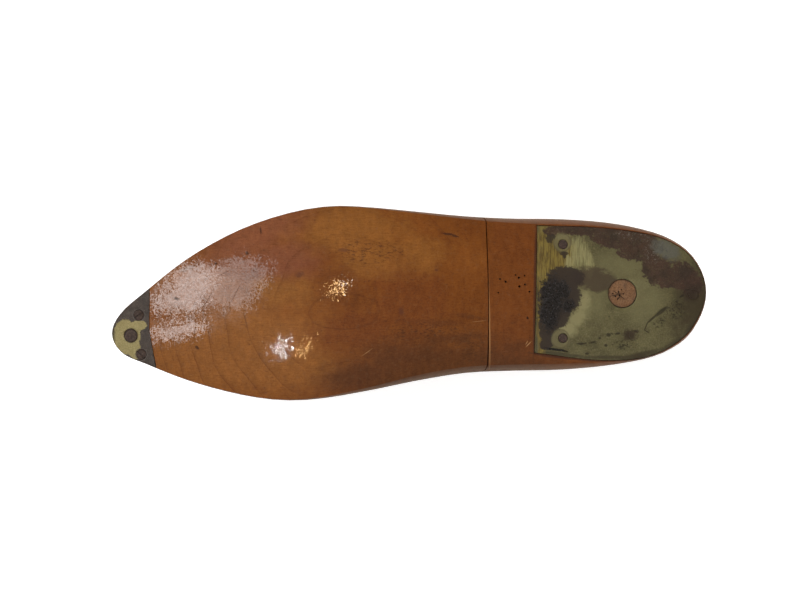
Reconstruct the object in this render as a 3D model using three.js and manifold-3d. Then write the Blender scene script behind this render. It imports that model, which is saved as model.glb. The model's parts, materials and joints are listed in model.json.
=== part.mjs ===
// A hinged wooden shoe last for a left foot, the block that keeps or gives a shoe its shape.
// It lies sole up on the flat top of its cone. +X runs from toe to heel, +Y towards the
// outer (lateral) side of the foot, +Z out of the sole. Millimetres.
import * as THREE from "three";
import { mergeVertices } from "three/addons/utils/BufferGeometryUtils.js";
import Module from "manifold-3d";

const wasm = await Module();
wasm.setup();

// ---- Driving sizes -------------------------------------------------------------------------

// The wooden body
const LAST_LENGTH = 284; // toe tip to the back of the heel
const BALL_WIDTH = 91.6; // across the widest part of the forefoot
const BALL_HEIGHT = 90; // cone top to the lowest point of the sole, under the ball
const HEEL_PITCH = 18; // how much higher the heel seat stands than the ball
const TOE_SPRING = 8.5; // how much higher the toe tip stands than the ball
const TOE_INSET = 0.4; // from the toe tip to the edge of the sole
const HEEL_OVERHANG = 2.1; // the back of the heel bulges this far past the sole
const CONE_BACK_INSET = 23; // from the back of the heel to the cone's flat top
const VAMP_START = 19; // from the toe tip to where the ridge of the vamp begins
const CONE_HALF_WIDTH = 13.5;
const VAMP_RIDGE_HALF_WIDTH = 6;
const TOE_THICKNESS = 14; // sole to ridge, where the ridge begins
const SOLE_CROWN = 2.6; // how far the sole falls away, 40 mm from its middle
const ARCH_RISE = 6; // extra fall on the inner side of the waist

// The hinge, where the block is sawn in two
const CUT_TO_HEEL = 106.3; // from the back of the heel to the saw cut in the sole
const HINGE_HEIGHT = 42; // from the cone top to the point the halves roll on
const CUT_LEAN = 9; // degrees that the cut leans towards the toe
const CUT_SKEW = 1.4; // degrees off square across the sole
const SAW_GAP = 0.5;
const FOLD_ANGLE = 20; // degrees that the halves fold, and the angle of the notch
const PIN_SPACING = 24;
const PIN_RADIUS = 3;
const PIN_SINK = 0.8; // the pin ends lie this far under the flanks
const LINK_THICKNESS = 5.2;
const LINK_EYE_RADIUS = 8;
const LINK_WAIST = 5.6; // half the height of the link between its eyes
const SPRING_HEIGHT = 22; // from the rolling point to the spring's axis, in the notch
const SPRING_RADIUS = 4.4; // to the middle of the wire
const SPRING_WIRE = 0.9; // radius of the wire
const SPRING_LENGTH = 26;
const SPRING_TURNS = 6;

// The metal plates in the sole and what holds them
const PLATE_THICKNESS = 2.4;
const HEEL_PLATE_LENGTH = 80.6;
const HEEL_PLATE_SKEW = 1.2; // how much longer the heel plate is along its inner side
const HEEL_PLATE_CORNER_INSET = 4.6; // the inner front corner stands in from the edge
const TOE_PLATE_LENGTH = 18.2;
const TOE_PLATE_SKEW = 4; // how much longer the toe plate is along its inner edge
const NAIL_RADIUS = 1.3;
const NAIL_HEAD_RADIUS = 2.1;
const NAIL_LENGTH = 17;
const RIVET_RADIUS = 3;
const RIVET_LENGTH = 7.5;
const SCREW_HEAD_RADIUS = 2.4;
const SCREW_RADIUS = 1.3;
const SCREW_LENGTH = 8.5;
const SCREW_SLOT = 0.7;
const HEAD_DEPTH = 1.5;
const HEAD_LAND = 0.3; // the straight rim of a countersunk head
const NAIL_FRONT_INSET = 12.3; // nails to the heel plate's front edge
const NAIL_SIDE_INSET = 8.6; // nails to the heel plate's sides
const NAIL_PITCH = 34.2; // front pair to middle pair
const NAIL_BACK_INSET = 5.6;
const PLUG_RADIUS = 6.7;
const PLUG_LENGTH = 16;
const PLUG_TO_HEEL = 41.9;

// The jack socket in the cone top
const SOCKET_TO_HEEL = 54;
const SOCKET_BORE = 6.7; // radius
const SOCKET_WALL = 1.2;
const WOOD_OVER_SOCKET = 11; // left between the socket's end and the plug's
const SOCKET_FLANGE = 3; // width of the flange around the tube
const FLANGE_THICKNESS = 1.4;

const FIT = 0.3; // clearance between pieces that touch
const AROUND = 52; // steps along each side of the body's rings
const ROUND = 24; // sides of a turned piece

// ---- Helpers for shapes and solids -----------------------------------------------------------

const lerp = THREE.MathUtils.lerp;
const rad = THREE.MathUtils.degToRad;

function solidOf(geometry) {
  const bare = geometry.index ? geometry.toNonIndexed() : geometry.clone();
  bare.deleteAttribute("normal");
  bare.deleteAttribute("uv");
  const merged = mergeVertices(bare, 1e-4);
  return new wasm.Manifold(
    new wasm.Mesh({
      numProp: 3,
      vertProperties: merged.attributes.position.array,
      triVerts: new Uint32Array(merged.index.array),
    }),
  );
}

function geometryOf(solid) {
  const mesh = solid.getMesh();
  const position = new THREE.BufferAttribute(mesh.vertProperties, mesh.numProp);
  const geometry = new THREE.BufferGeometry().setAttribute("position", position);
  geometry.setIndex(new THREE.BufferAttribute(mesh.triVerts, 1));
  return geometry;
}

// A smooth curve through knots [place, value], as a function of the place.
function through(knots) {
  const slope = (i) => {
    const before = knots[Math.max(i - 1, 0)];
    const after = knots[Math.min(i + 1, knots.length - 1)];
    return (after[1] - before[1]) / (after[0] - before[0]);
  };
  return (place) => {
    const found = knots.findIndex((knot) => knot[0] >= place);
    const i = found < 0 ? knots.length - 1 : Math.max(found, 1);
    const [a, va] = knots[i - 1];
    const [b, vb] = knots[i];
    const u = THREE.MathUtils.clamp((place - a) / (b - a), 0, 1);
    const rise = (b - a) * (slope(i - 1) * u * (1 - u) ** 2 - slope(i) * u ** 2 * (1 - u));
    return va + (vb - va) * u * u * (3 - 2 * u) + rise;
  };
}

// The same for an outline that is round at both ends: places are shares of its length.
const turn = (share) => Math.acos(1 - 2 * THREE.MathUtils.clamp(share, 0, 1)) / Math.PI;
function roundEnded(knots) {
  const curve = through(knots.map(([share, value]) => [turn(share), value]));
  return (share) => curve(turn(share));
}

// A box given by its lowest and highest corners.
function box(low, high) {
  const size = high.map((value, k) => value - low[k]);
  const middle = high.map((value, k) => (value + low[k]) / 2);
  return new THREE.BoxGeometry(...size).translate(...middle);
}

// A piece turned about +Z from [radius, z] pairs, which run from bottom to top.
function turned(profile) {
  const points = profile.map(([radius, z]) => new THREE.Vector2(radius, z));
  return new THREE.LatheGeometry(points, ROUND).rotateX(Math.PI / 2);
}

// ---- The wooden body -------------------------------------------------------------------------

const TOE_END = -LAST_LENGTH / 2;
const HEEL_END = LAST_LENGTH / 2;
const WIDE = BALL_WIDTH / 91.6; // the outlines below are drawn for this ball width
const TOE_Y = -14.4 * WIDE; // the toe swings to the inner side
const HEEL_Y = 5.2 * WIDE;
const AXIS_Y = 4.6 * WIDE; // the middle of the cone and of the heel

const wide = (knots) => roundEnded(knots.map(([share, y]) => [share, y * WIDE]));

// Each line round the body has its two ends along X and its two sides, as shares of its length.
const widestLine = {
  from: TOE_END,
  to: HEEL_END,
  outer: wide([
    [0, -14.4], [0.02, -3.1], [0.06, 6.4], [0.14, 23.4], [0.22, 35.3], [0.3, 42.8], [0.365, 45.8],
    [0.43, 45.4], [0.51, 43.7], [0.59, 42.1], [0.67, 41.4], [0.75, 41.4], [0.83, 39.9],
    [0.89, 36.9], [0.935, 32.6], [0.975, 24.4], [1, 5.2],
  ]),
  inner: wide([
    [0, -14.4], [0.02, -24.2], [0.06, -29.1], [0.14, -37.6], [0.22, -43.4], [0.285, -45.8],
    [0.345, -45.2], [0.43, -41.6], [0.51, -37.4], [0.59, -34.3], [0.67, -33.4], [0.75, -33],
    [0.83, -31], [0.89, -28], [0.935, -23.7], [0.975, -15.2], [1, 5.2],
  ]),
};
const soleEdge = {
  from: TOE_END + TOE_INSET,
  to: HEEL_END - HEEL_OVERHANG,
  outer: wide([
    [0, -14.4], [0.02, -3.5], [0.06, 5.8], [0.14, 22.8], [0.22, 34.6], [0.3, 42], [0.37, 44.9],
    [0.43, 44.1], [0.51, 41.7], [0.59, 39.2], [0.65, 37.7], [0.717, 36.8], [0.8, 36.3],
    [0.857, 34.9], [0.9, 33], [0.937, 29.7], [0.97, 23.7], [0.989, 16.6], [1, 5.2],
  ]),
  inner: wide([
    [0, -14.4], [0.02, -23.8], [0.06, -28.5], [0.14, -36.9], [0.22, -42.6], [0.28, -44.8],
    [0.345, -43.9], [0.43, -39], [0.51, -33.2], [0.59, -29.4], [0.66, -28.5], [0.717, -28.2],
    [0.8, -28], [0.857, -27.4], [0.9, -25.7], [0.937, -21.6], [0.97, -14.5], [0.989, -6], [1, 5.2],
  ]),
};
const ridgeY = through([
  [TOE_END + VAMP_START, TOE_Y], [-70, -10 * WIDE], [-25, -4 * WIDE], [12, 3 * WIDE], [35, AXIS_Y],
]);
const topHalf = roundEnded([
  [0, 0], [0.12, VAMP_RIDGE_HALF_WIDTH * 0.75], [0.35, VAMP_RIDGE_HALF_WIDTH],
  [0.48, VAMP_RIDGE_HALF_WIDTH * 1.35], [0.6, CONE_HALF_WIDTH * 0.92], [0.7, CONE_HALF_WIDTH],
  [0.86, CONE_HALF_WIDTH], [0.94, CONE_HALF_WIDTH * 0.8], [1, 0],
]);
const topEdge = { from: TOE_END + VAMP_START, to: HEEL_END - CONE_BACK_INSET };
const along = (line, share) => lerp(line.from, line.to, share);
topEdge.outer = (share) => ridgeY(along(topEdge, share)) + topHalf(share);
topEdge.inner = (share) => ridgeY(along(topEdge, share)) - topHalf(share);

// The height of the sole's middle along the last, from toe to heel.
const soleProfile = through([
  [TOE_END, BALL_HEIGHT - TOE_SPRING], [-120, BALL_HEIGHT - 5.4], [-95, BALL_HEIGHT - 2.5],
  [-66, BALL_HEIGHT - 0.4], [-43, BALL_HEIGHT], [-20, BALL_HEIGHT - 1], [0, BALL_HEIGHT - 3.4],
  [20, BALL_HEIGHT - HEEL_PITCH * 0.39], [36, BALL_HEIGHT - HEEL_PITCH * 0.57],
  [59, BALL_HEIGHT - HEEL_PITCH * 0.78], [83, BALL_HEIGHT - HEEL_PITCH * 0.92],
  [105, BALL_HEIGHT - HEEL_PITCH * 0.98], [HEEL_END, BALL_HEIGHT - HEEL_PITCH],
]);
const soleMiddleY = through([[TOE_END, TOE_Y], [-60, -3 * WIDE], [30, AXIS_Y], [HEEL_END, HEEL_Y]]);
const archRise = through([[-50, 0], [-15, ARCH_RISE * 0.55], [25, ARCH_RISE], [60, ARCH_RISE * 0.35], [90, 0]]);
function soleHeight(x, y) {
  const side = (y - soleMiddleY(x)) / 40;
  const fall = SOLE_CROWN + (side < 0 ? archRise(x) : 0);
  return soleProfile(x) - fall * side * side;
}

// The ridge of the vamp climbs from the toe to the cone's flat top, at height 0.
const CONE_FRONT = 6;
const ridgeCurve = through([
  [TOE_END + VAMP_START, BALL_HEIGHT - 5.4 - TOE_THICKNESS], [-100, BALL_HEIGHT - 25.5],
  [-70, BALL_HEIGHT - 33], [-43, BALL_HEIGHT - 42], [-22, BALL_HEIGHT - 57],
  [-8, BALL_HEIGHT * 0.2], [0, BALL_HEIGHT * 0.08], [CONE_FRONT, 0.4], [CONE_FRONT + 4, 0],
  [HEEL_END, 0],
]);
const ridgeHeight = (x) => Math.max(0, ridgeCurve(x));
// How far under the sole's edge the body is widest, and how round the top of its side is.
const widestDrop = through([[0, 3], [0.1, 5.5], [0.35, 9], [0.5, 17], [0.62, 23], [1, 22]]);
const vampCrown = through([[0, 1], [0.42, 1], [0.6, 0], [1, 0]]); // side edges of the ridge, over its middle
const topRound = through([[0, 1], [0.42, 1], [0.62, 0.12], [1, 0.12]]);

// A point of the body at a level from 0, the middle of the sole, over 1, its edge, 2, the widest
// line, and 3, the edge of the top, to 4, the ridge. Side is "outer" or "inner".
function bodyPoint(level, share, side) {
  const on = (line) => new THREE.Vector3(along(line, share), line[side](share), 0);
  const edge = on(soleEdge);
  edge.z = soleHeight(edge.x, edge.y);
  if (level <= 1) {
    const x = lerp(soleEdge.from + 9, soleEdge.to - 28, share);
    const middle = new THREE.Vector3(x, soleMiddleY(x), 0);
    const point = middle.lerp(edge, level);
    point.z = soleHeight(point.x, point.y);
    return point;
  }
  const widest = on(widestLine);
  widest.z = edge.z - widestDrop(share);
  if (level <= 2) {
    const u = ((level - 1) * Math.PI) / 2;
    const point = edge.clone().lerp(widest, Math.sin(u));
    point.z = lerp(edge.z, widest.z, 1 - Math.cos(u));
    return point;
  }
  const top = on(topEdge);
  top.z = ridgeHeight(top.x) + Math.max(0, vampCrown(share));
  if (level <= 3) {
    const u = level - 2;
    const quarter = (u * Math.PI) / 2;
    const round = topRound(share);
    const point = widest.clone().lerp(top, lerp(u ** 1.35, 1 - Math.cos(quarter), round));
    point.z = lerp(widest.z, top.z, lerp(u, Math.sin(quarter), round));
    return point;
  }
  const x = lerp(topEdge.from + 8, topEdge.to - CONE_HALF_WIDTH, share);
  const ridge = new THREE.Vector3(x, ridgeY(x), ridgeHeight(x));
  return top.lerp(ridge, level - 3);
}

// A closed skin over rings of points. The first and last ring fold flat onto a line.
function skinOver(rings) {
  const count = rings[0].length;
  const positions = [];
  rings.slice(1).forEach((ring, r) => {
    const before = rings[r];
    for (let i = 0; i < count; i++) {
      const j = (i + 1) % count;
      for (const point of [before[i], ring[j], ring[i], before[i], before[j], ring[j]]) {
        positions.push(...point.toArray());
      }
    }
  });
  const geometry = new THREE.BufferGeometry();
  return geometry.setAttribute("position", new THREE.Float32BufferAttribute(positions, 3));
}

function wholeBody() {
  const levels = [
    0, 0.3, 0.6, 0.85, 0.97, 1, 1.12, 1.3, 1.5, 1.75, 2, 2.12, 2.25, 2.4, 2.55, 2.7, 2.82, 2.92, 3, 3.5, 4,
  ];
  const share = (i) => (1 - Math.cos((Math.PI * i) / AROUND)) / 2;
  const rings = levels.map((level) => {
    const outer = Array.from({ length: AROUND }, (_, i) => bodyPoint(level, share(i), "outer"));
    const inner = Array.from({ length: AROUND }, (_, i) => bodyPoint(level, share(AROUND - i), "inner"));
    return [...outer, ...inner];
  });
  return solidOf(skinOver(rings));
}

// A slab that follows the sole, from `low` to `high` above it, between two places along X.
function soleSlab(fromX, toX, low, high) {
  const steps = 16;
  const reach = 60 * WIDE;
  const rows = Array.from({ length: steps + 1 }, (_, i) => lerp(fromX, toX, i / steps));
  const columns = Array.from({ length: steps + 1 }, (_, j) => lerp(-reach, reach, j / steps));
  const sheet = (offset) =>
    rows.map((x) => columns.map((y) => new THREE.Vector3(x, y, soleHeight(x, y) + offset)));
  const top = sheet(high);
  const bottom = sheet(low);
  const positions = [];
  const quad = (a, b, c, d) => {
    for (const point of [a, b, c, a, c, d]) positions.push(...point.toArray());
  };
  for (let i = 0; i < steps; i++) {
    for (let j = 0; j < steps; j++) {
      quad(top[i][j], top[i + 1][j], top[i + 1][j + 1], top[i][j + 1]);
      quad(bottom[i][j], bottom[i][j + 1], bottom[i + 1][j + 1], bottom[i + 1][j]);
    }
    quad(bottom[i][0], bottom[i + 1][0], top[i + 1][0], top[i][0]);
    quad(top[i][steps], top[i + 1][steps], bottom[i + 1][steps], bottom[i][steps]);
    quad(bottom[0][i], top[0][i], top[0][i + 1], bottom[0][i + 1]);
    quad(bottom[steps][i + 1], top[steps][i + 1], top[steps][i], bottom[steps][i]);
  }
  const geometry = new THREE.BufferGeometry();
  return solidOf(geometry.setAttribute("position", new THREE.Float32BufferAttribute(positions, 3)));
}

// A flat outline in plan, as a tall prism.
function prism(points) {
  const shape = new THREE.Shape(points.map(([x, y]) => new THREE.Vector2(x, y)));
  const depth = BALL_HEIGHT * 2;
  return solidOf(new THREE.ExtrudeGeometry(shape, { depth, bevelEnabled: false }));
}

const body = wholeBody();

// ---- The sawn hinge joint --------------------------------------------------------------------

// The joint has its own frame: X from pin to pin, towards the heel, Y along the pins, and Z
// along the cut, out of the sole. Its origin is the point that the two halves roll on.
const CUT_AT_SOLE = HEEL_END - CUT_TO_HEEL;
const cutRise = soleProfile(CUT_AT_SOLE) - HINGE_HEIGHT;
const HINGE_X = CUT_AT_SOLE - Math.tan(rad(CUT_LEAN)) * cutRise;
const hingeFrame = new THREE.Matrix4()
  .makeTranslation(HINGE_X, AXIS_Y, HINGE_HEIGHT)
  .multiply(new THREE.Matrix4().makeRotationZ(rad(CUT_SKEW)))
  .multiply(new THREE.Matrix4().makeRotationY(rad(CUT_LEAN)));
const inHinge = (geometry) => geometry.applyMatrix4(hingeFrame);
const PIN_OFFSET = PIN_SPACING / 2;
const FAR = LAST_LENGTH; // past the body on every side

// Everything on one half's side of the cut: side is -1 for the forepart and 1 for the heel part.
// From the rolling point the face runs straight to the sole, and the other way it rolls on an
// arc about the half's own pin and then runs straight, which makes the notch.
function halfSpace(side) {
  const radius = PIN_OFFSET - SAW_GAP / 2;
  const last = rad(FOLD_ANGLE / 2);
  const face = [[(side * SAW_GAP) / 2, FAR]];
  for (let step = 0; step <= 4; step++) {
    const angle = (last * step) / 4;
    face.push([side * (PIN_OFFSET - radius * Math.cos(angle)), -radius * Math.sin(angle)]);
  }
  const [x, z] = face.at(-1);
  face.push([x + side * FAR * Math.sin(last), z - FAR * Math.cos(last)]);
  face.push([side * FAR * 2, -FAR], [side * FAR * 2, FAR]);
  const shape = new THREE.Shape(face.map(([px, pz]) => new THREE.Vector2(px, pz)));
  const geometry = new THREE.ExtrudeGeometry(shape, { depth: 2 * FAR, bevelEnabled: false });
  return solidOf(inHinge(geometry.rotateX(Math.PI / 2).translate(0, FAR, 0)));
}

const pinAt = (side, radius, from, to) => {
  const geometry = new THREE.CylinderGeometry(radius, radius, to - from, ROUND);
  return inHinge(geometry.translate(side * PIN_OFFSET, (from + to) / 2, 0));
};

// Where a pin's line leaves the body's flanks, as places along the pin.
function flanks(side) {
  const probe = solidOf(pinAt(side, PIN_RADIUS, -FAR, FAR)).intersect(body);
  const toHinge = hingeFrame.clone().invert();
  const solid = geometryOf(probe).applyMatrix4(toHinge);
  solid.computeBoundingBox();
  const across = solid.attributes.position;
  const ends = { outer: [], inner: [] };
  for (let i = 0; i < across.count; i++) {
    const y = across.getY(i);
    (y > 0 ? ends.outer : ends.inner).push(y);
  }
  return { from: Math.max(...ends.inner), to: Math.min(...ends.outer) };
}

function hingePin(side) {
  const { from, to } = flanks(side);
  return pinAt(side, PIN_RADIUS, from + PIN_SINK, to - PIN_SINK);
}

// The mortise for the link, the spring's pocket and the pin's hole in one half.
function hingeCuts(side) {
  const deep = PIN_OFFSET + LINK_EYE_RADIUS + 1.5;
  const half = LINK_THICKNESS / 2 + FIT + 0.1;
  const swing = LINK_EYE_RADIUS + 1.2;
  const mouth = 1;
  const ends = [side * deep, -side * mouth].sort((a, b) => a - b);
  const mortise = solidOf(inHinge(box([ends[0], -half, -swing], [ends[1], half, swing])));
  const pocket = new THREE.CylinderGeometry(
    SPRING_RADIUS + SPRING_WIRE + 0.7,
    SPRING_RADIUS + SPRING_WIRE + 0.7,
    SPRING_LENGTH / 2 + FIT,
    ROUND,
  );
  pocket.rotateZ(Math.PI / 2).translate((side * (SPRING_LENGTH / 2 + FIT)) / 2, 0, -SPRING_HEIGHT);
  const hole = solidOf(pinAt(side, PIN_RADIUS + FIT, -FAR, FAR));
  return mortise.add(solidOf(inHinge(pocket))).add(hole);
}

function hingeLink() {
  const shape = new THREE.Shape();
  const shoulder = Math.asin(LINK_WAIST / LINK_EYE_RADIUS);
  shape.absarc(PIN_OFFSET, 0, LINK_EYE_RADIUS, -Math.PI + shoulder, Math.PI - shoulder, false);
  shape.absarc(-PIN_OFFSET, 0, LINK_EYE_RADIUS, shoulder, 2 * Math.PI - shoulder, false);
  shape.closePath();
  for (const side of [-1, 1]) {
    const eye = new THREE.Path();
    eye.absarc(side * PIN_OFFSET, 0, PIN_RADIUS + FIT, 0, 2 * Math.PI, true);
    shape.holes.push(eye);
  }
  const depth = LINK_THICKNESS;
  const geometry = new THREE.ExtrudeGeometry(shape, { depth, bevelEnabled: false, curveSegments: 16 });
  return inHinge(geometry.rotateX(Math.PI / 2).translate(0, depth / 2, 0));
}

// An open helix of round wire, its end turns closed up flat.
class Helix extends THREE.Curve {
  getPoint(u, target = new THREE.Vector3()) {
    const angle = u * SPRING_TURNS * 2 * Math.PI;
    const reach = SPRING_LENGTH / 2 - SPRING_WIRE;
    const x = THREE.MathUtils.smoothstep(u, -0.06, 1.06) * 0.35 + u * 0.65;
    const place = lerp(-reach, reach, x);
    return target.set(
      THREE.MathUtils.clamp(place, -reach, reach),
      SPRING_RADIUS * Math.cos(angle),
      SPRING_RADIUS * Math.sin(angle) - SPRING_HEIGHT,
    );
  }
}

function hingeSpring() {
  const section = new THREE.Shape().absarc(0, 0, SPRING_WIRE, 0, 2 * Math.PI, false);
  const options = { steps: SPRING_TURNS * 14, extrudePath: new Helix(), curveSegments: 6 };
  return inHinge(new THREE.ExtrudeGeometry(section, options));
}

// ---- Plates, plug and fasteners in the sole ---------------------------------------------------

const PLATE_FRONT = HEEL_END - HEEL_OVERHANG - HEEL_PLATE_LENGTH;
const soleShare = (x) => (x - soleEdge.from) / (soleEdge.to - soleEdge.from);
const soleSideY = (side, x) => soleEdge[side](soleShare(x));

// The heel plate follows the edge of the sole, and stands in from it at its inner front corner.
function heelPlateOutline() {
  const steps = 22;
  const back = HEEL_END - HEEL_OVERHANG;
  const corner = through([
    [PLATE_FRONT, HEEL_PLATE_CORNER_INSET], [PLATE_FRONT + 24, 1.2], [PLATE_FRONT + 42, 0],
  ]);
  const place = (i) => lerp(PLATE_FRONT, back, Math.sin((Math.PI * i) / (2 * steps)));
  const places = Array.from({ length: steps }, (_, i) => place(i));
  const outer = places.map((x) => [x, soleSideY("outer", x)]);
  const inner = places.map((x) => [x, soleSideY("inner", x) + corner(x)]);
  inner[0][0] -= HEEL_PLATE_SKEW;
  return [...inner, [back, HEEL_Y], ...outer.reverse()];
}

// The toe plate's outline only matters at its rear, inside the body.
function toePlateOutline() {
  const rear = TOE_END + TOE_PLATE_LENGTH;
  const inside = [rear + TOE_PLATE_SKEW, TOE_Y - 20];
  const past = [inside[0] + TOE_PLATE_SKEW * 2, inside[1] - 20];
  return [[-FAR, past[1]], past, inside, [rear, TOE_Y + 1], [rear, FAR], [-FAR, FAR]];
}

// An outline moved out by a clearance, square to each of its sides.
function widened(outline, by) {
  const count = outline.length;
  const points = outline.map(([x, y]) => new THREE.Vector2(x, y));
  const outward = (from, to) => {
    const side = to.clone().sub(from).normalize();
    return new THREE.Vector2(side.y, -side.x);
  };
  return points.map((point, i) => {
    const before = outward(points[(i + count - 1) % count], point);
    const after = outward(point, points[(i + 1) % count]);
    const out = before.clone().add(after).normalize();
    const moved = point.clone().addScaledVector(out, by / out.dot(before));
    return [moved.x, moved.y];
  });
}

const plateSlab = (grow) => soleSlab(TOE_END - 9, HEEL_END + 9, -PLATE_THICKNESS - grow, 12);
const seatSlab = plateSlab(FIT);
const bodySlab = plateSlab(0);
const heelSeat = prism(widened(heelPlateOutline(), FIT)).intersect(seatSlab);
const toeSeat = prism(widened(toePlateOutline(), FIT)).intersect(seatSlab);

// A fastener driven down into the sole at [x, y]: its own shape, and the hole that it leaves.
function driven(profile, [x, y]) {
  const top = soleHeight(x, y) - 0.12;
  return turned(profile).translate(x, y, top);
}
const nailProfile = (grow, reach = 0) => [
  [0, -NAIL_LENGTH - grow], [NAIL_RADIUS * 0.35 + grow, -NAIL_LENGTH - grow],
  [NAIL_RADIUS + grow, -NAIL_LENGTH * 0.75], [NAIL_RADIUS + grow, -HEAD_DEPTH],
  [NAIL_HEAD_RADIUS + grow, -HEAD_LAND], [NAIL_HEAD_RADIUS + grow, reach], [0, reach],
];
const screwProfile = (grow, reach = 0) => [
  [0, -SCREW_LENGTH - grow], [0.4 + grow, -SCREW_LENGTH - grow], [SCREW_RADIUS + grow, -SCREW_LENGTH * 0.6],
  [SCREW_RADIUS + grow, -HEAD_DEPTH * 1.2], [SCREW_HEAD_RADIUS + grow, -HEAD_LAND],
  [SCREW_HEAD_RADIUS + grow, reach], [0, reach],
];
const rodProfile = (radius, length, grow, reach = 0) => [
  [0, -length - grow], [radius + grow, -length - grow], [radius + grow, reach], [0, reach],
];
const OPEN = 6; // holes run on above the sole by this much

const nailX = PLATE_FRONT + NAIL_FRONT_INSET;
const nailY = (side, x) => soleSideY(side, x) + (side === "outer" ? -NAIL_SIDE_INSET : NAIL_SIDE_INSET);
const nailRows = [["front", nailX], ["middle", nailX + NAIL_PITCH]];
const cornerIn = { outer: 0, inner: 2.8 };
const nails = nailRows.flatMap(([row, x]) =>
  ["outer", "inner"].map((side) => {
    const y = nailY(side, x) + cornerIn[side];
    return { name: `heel_nail_${row}_${side}`, at: [x, y] };
  }),
);
nails.push({ name: "heel_nail_back", at: [HEEL_END - HEEL_OVERHANG - NAIL_BACK_INSET, HEEL_Y - 1] });
const rivetAt = [TOE_END + 9.4, TOE_Y - 0.9];
const screws = [
  { name: "toe_screw_outer", at: [TOE_END + 13.3, TOE_Y + 8.7], turn: 30 },
  { name: "toe_screw_inner", at: [TOE_END + 14.4, TOE_Y - 9.7], turn: -50 },
];
const plugAt = [HEEL_END - PLUG_TO_HEEL, AXIS_Y];

function slottedScrew({ at, turn: angle }) {
  const [x, y] = at;
  const reach = SCREW_HEAD_RADIUS + 1;
  const slot = box([-reach, -SCREW_SLOT / 2, -0.7], [reach, SCREW_SLOT / 2, 3]);
  slot.rotateZ(rad(angle)).translate(x, y, soleHeight(x, y));
  return geometryOf(solidOf(driven(screwProfile(0), at)).subtract(solidOf(slot)));
}

const nailHoles = nails.map(({ at }) => solidOf(driven(nailProfile(FIT, OPEN), at)));
const screwHoles = screws.map(({ at }) => solidOf(driven(screwProfile(FIT, OPEN), at)));
const rivetHole = solidOf(driven(rodProfile(RIVET_RADIUS, RIVET_LENGTH, FIT, OPEN), rivetAt));
const plugHole = solidOf(driven(rodProfile(PLUG_RADIUS, PLUG_LENGTH, FIT, OPEN), plugAt));

// ---- The jack socket in the cone top ----------------------------------------------------------

const socketAt = [HEEL_END - SOCKET_TO_HEEL, AXIS_Y, 0];
const socketLength = soleProfile(socketAt[0]) - PLUG_LENGTH - WOOD_OVER_SOCKET;
const socketOuter = SOCKET_BORE + SOCKET_WALL;
const flangeRadius = socketOuter + SOCKET_FLANGE;
const socketProfile = [
  [SOCKET_BORE, FIT], [flangeRadius, FIT], [flangeRadius, FLANGE_THICKNESS + FIT],
  [socketOuter, FLANGE_THICKNESS + FIT], [socketOuter, socketLength], [SOCKET_BORE, socketLength],
  [SOCKET_BORE, FIT],
];
const socketSeat = turned([
  [0, -5], [flangeRadius + FIT, -5], [flangeRadius + FIT, FLANGE_THICKNESS + 2 * FIT],
  [socketOuter + FIT, FLANGE_THICKNESS + 2 * FIT], [socketOuter + FIT, socketLength + FIT],
  [0, socketLength + FIT],
]).translate(...socketAt);

// ---- Putting it together ----------------------------------------------------------------------

const forepart = [hingeCuts(-1), toeSeat, rivetHole, ...screwHoles].reduce(
  (wood, cut) => wood.subtract(cut),
  body.intersect(halfSpace(-1)),
);
const heelPart = [hingeCuts(1), heelSeat, plugHole, solidOf(socketSeat), ...nailHoles].reduce(
  (wood, cut) => wood.subtract(cut),
  body.intersect(halfSpace(1)),
);
const heelPlate = [plugHole, ...nailHoles].reduce(
  (plate, cut) => plate.subtract(cut),
  body.intersect(prism(heelPlateOutline())).intersect(bodySlab),
);
const toePlate = [rivetHole, ...screwHoles].reduce(
  (plate, cut) => plate.subtract(cut),
  body.intersect(prism(toePlateOutline())).intersect(bodySlab),
);

const finish = (color, roughness, metalness) =>
  new THREE.MeshStandardMaterial({ color: new THREE.Color(...color), roughness, metalness });
const maple = finish([0.42, 0.17, 0.04], 0.35, 0);
const plugWood = finish([0.5, 0.25, 0.12], 0.6, 0);
const plateSteel = finish([0.2, 0.2, 0.11], 0.45, 0.8);
const rustedSteel = finish([0.1, 0.06, 0.05], 0.7, 0.5);
const brightSteel = finish([0.5, 0.5, 0.5], 0.3, 1);

const last = new THREE.Group();
function add(name, geometry, material) {
  const mesh = new THREE.Mesh(geometry, material);
  mesh.name = name;
  last.add(mesh);
}

add("forepart", geometryOf(forepart), maple);
add("heel_part", geometryOf(heelPart), maple);
add("heel_plate", geometryOf(heelPlate), plateSteel);
add("toe_plate", geometryOf(toePlate), plateSteel);
add("heel_plug", driven(rodProfile(PLUG_RADIUS, PLUG_LENGTH, 0), plugAt), plugWood);
for (const { name, at } of nails) add(name, driven(nailProfile(0), at), rustedSteel);
add("toe_rivet", driven(rodProfile(RIVET_RADIUS, RIVET_LENGTH, 0), rivetAt), rustedSteel);
for (const screw of screws) add(screw.name, slottedScrew(screw), rustedSteel);
add("jack_socket", turned(socketProfile).translate(...socketAt), brightSteel);
add("hinge_link", hingeLink(), brightSteel);
add("hinge_spring", hingeSpring(), brightSteel);
add("hinge_pin_front", hingePin(-1), brightSteel);
add("hinge_pin_rear", hingePin(1), brightSteel);

export default last;
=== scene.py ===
"""A hinged wooden shoe last for a left foot, lying sole up on its cone.

Metres. +X runs from toe to heel, +Y towards the outer side of the foot, +Z out of the sole.
Patterns are placed in millimetres in the same directions.
"""

import json
import math

import bmesh
import bpy
from mathutils import Matrix, Vector

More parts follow.
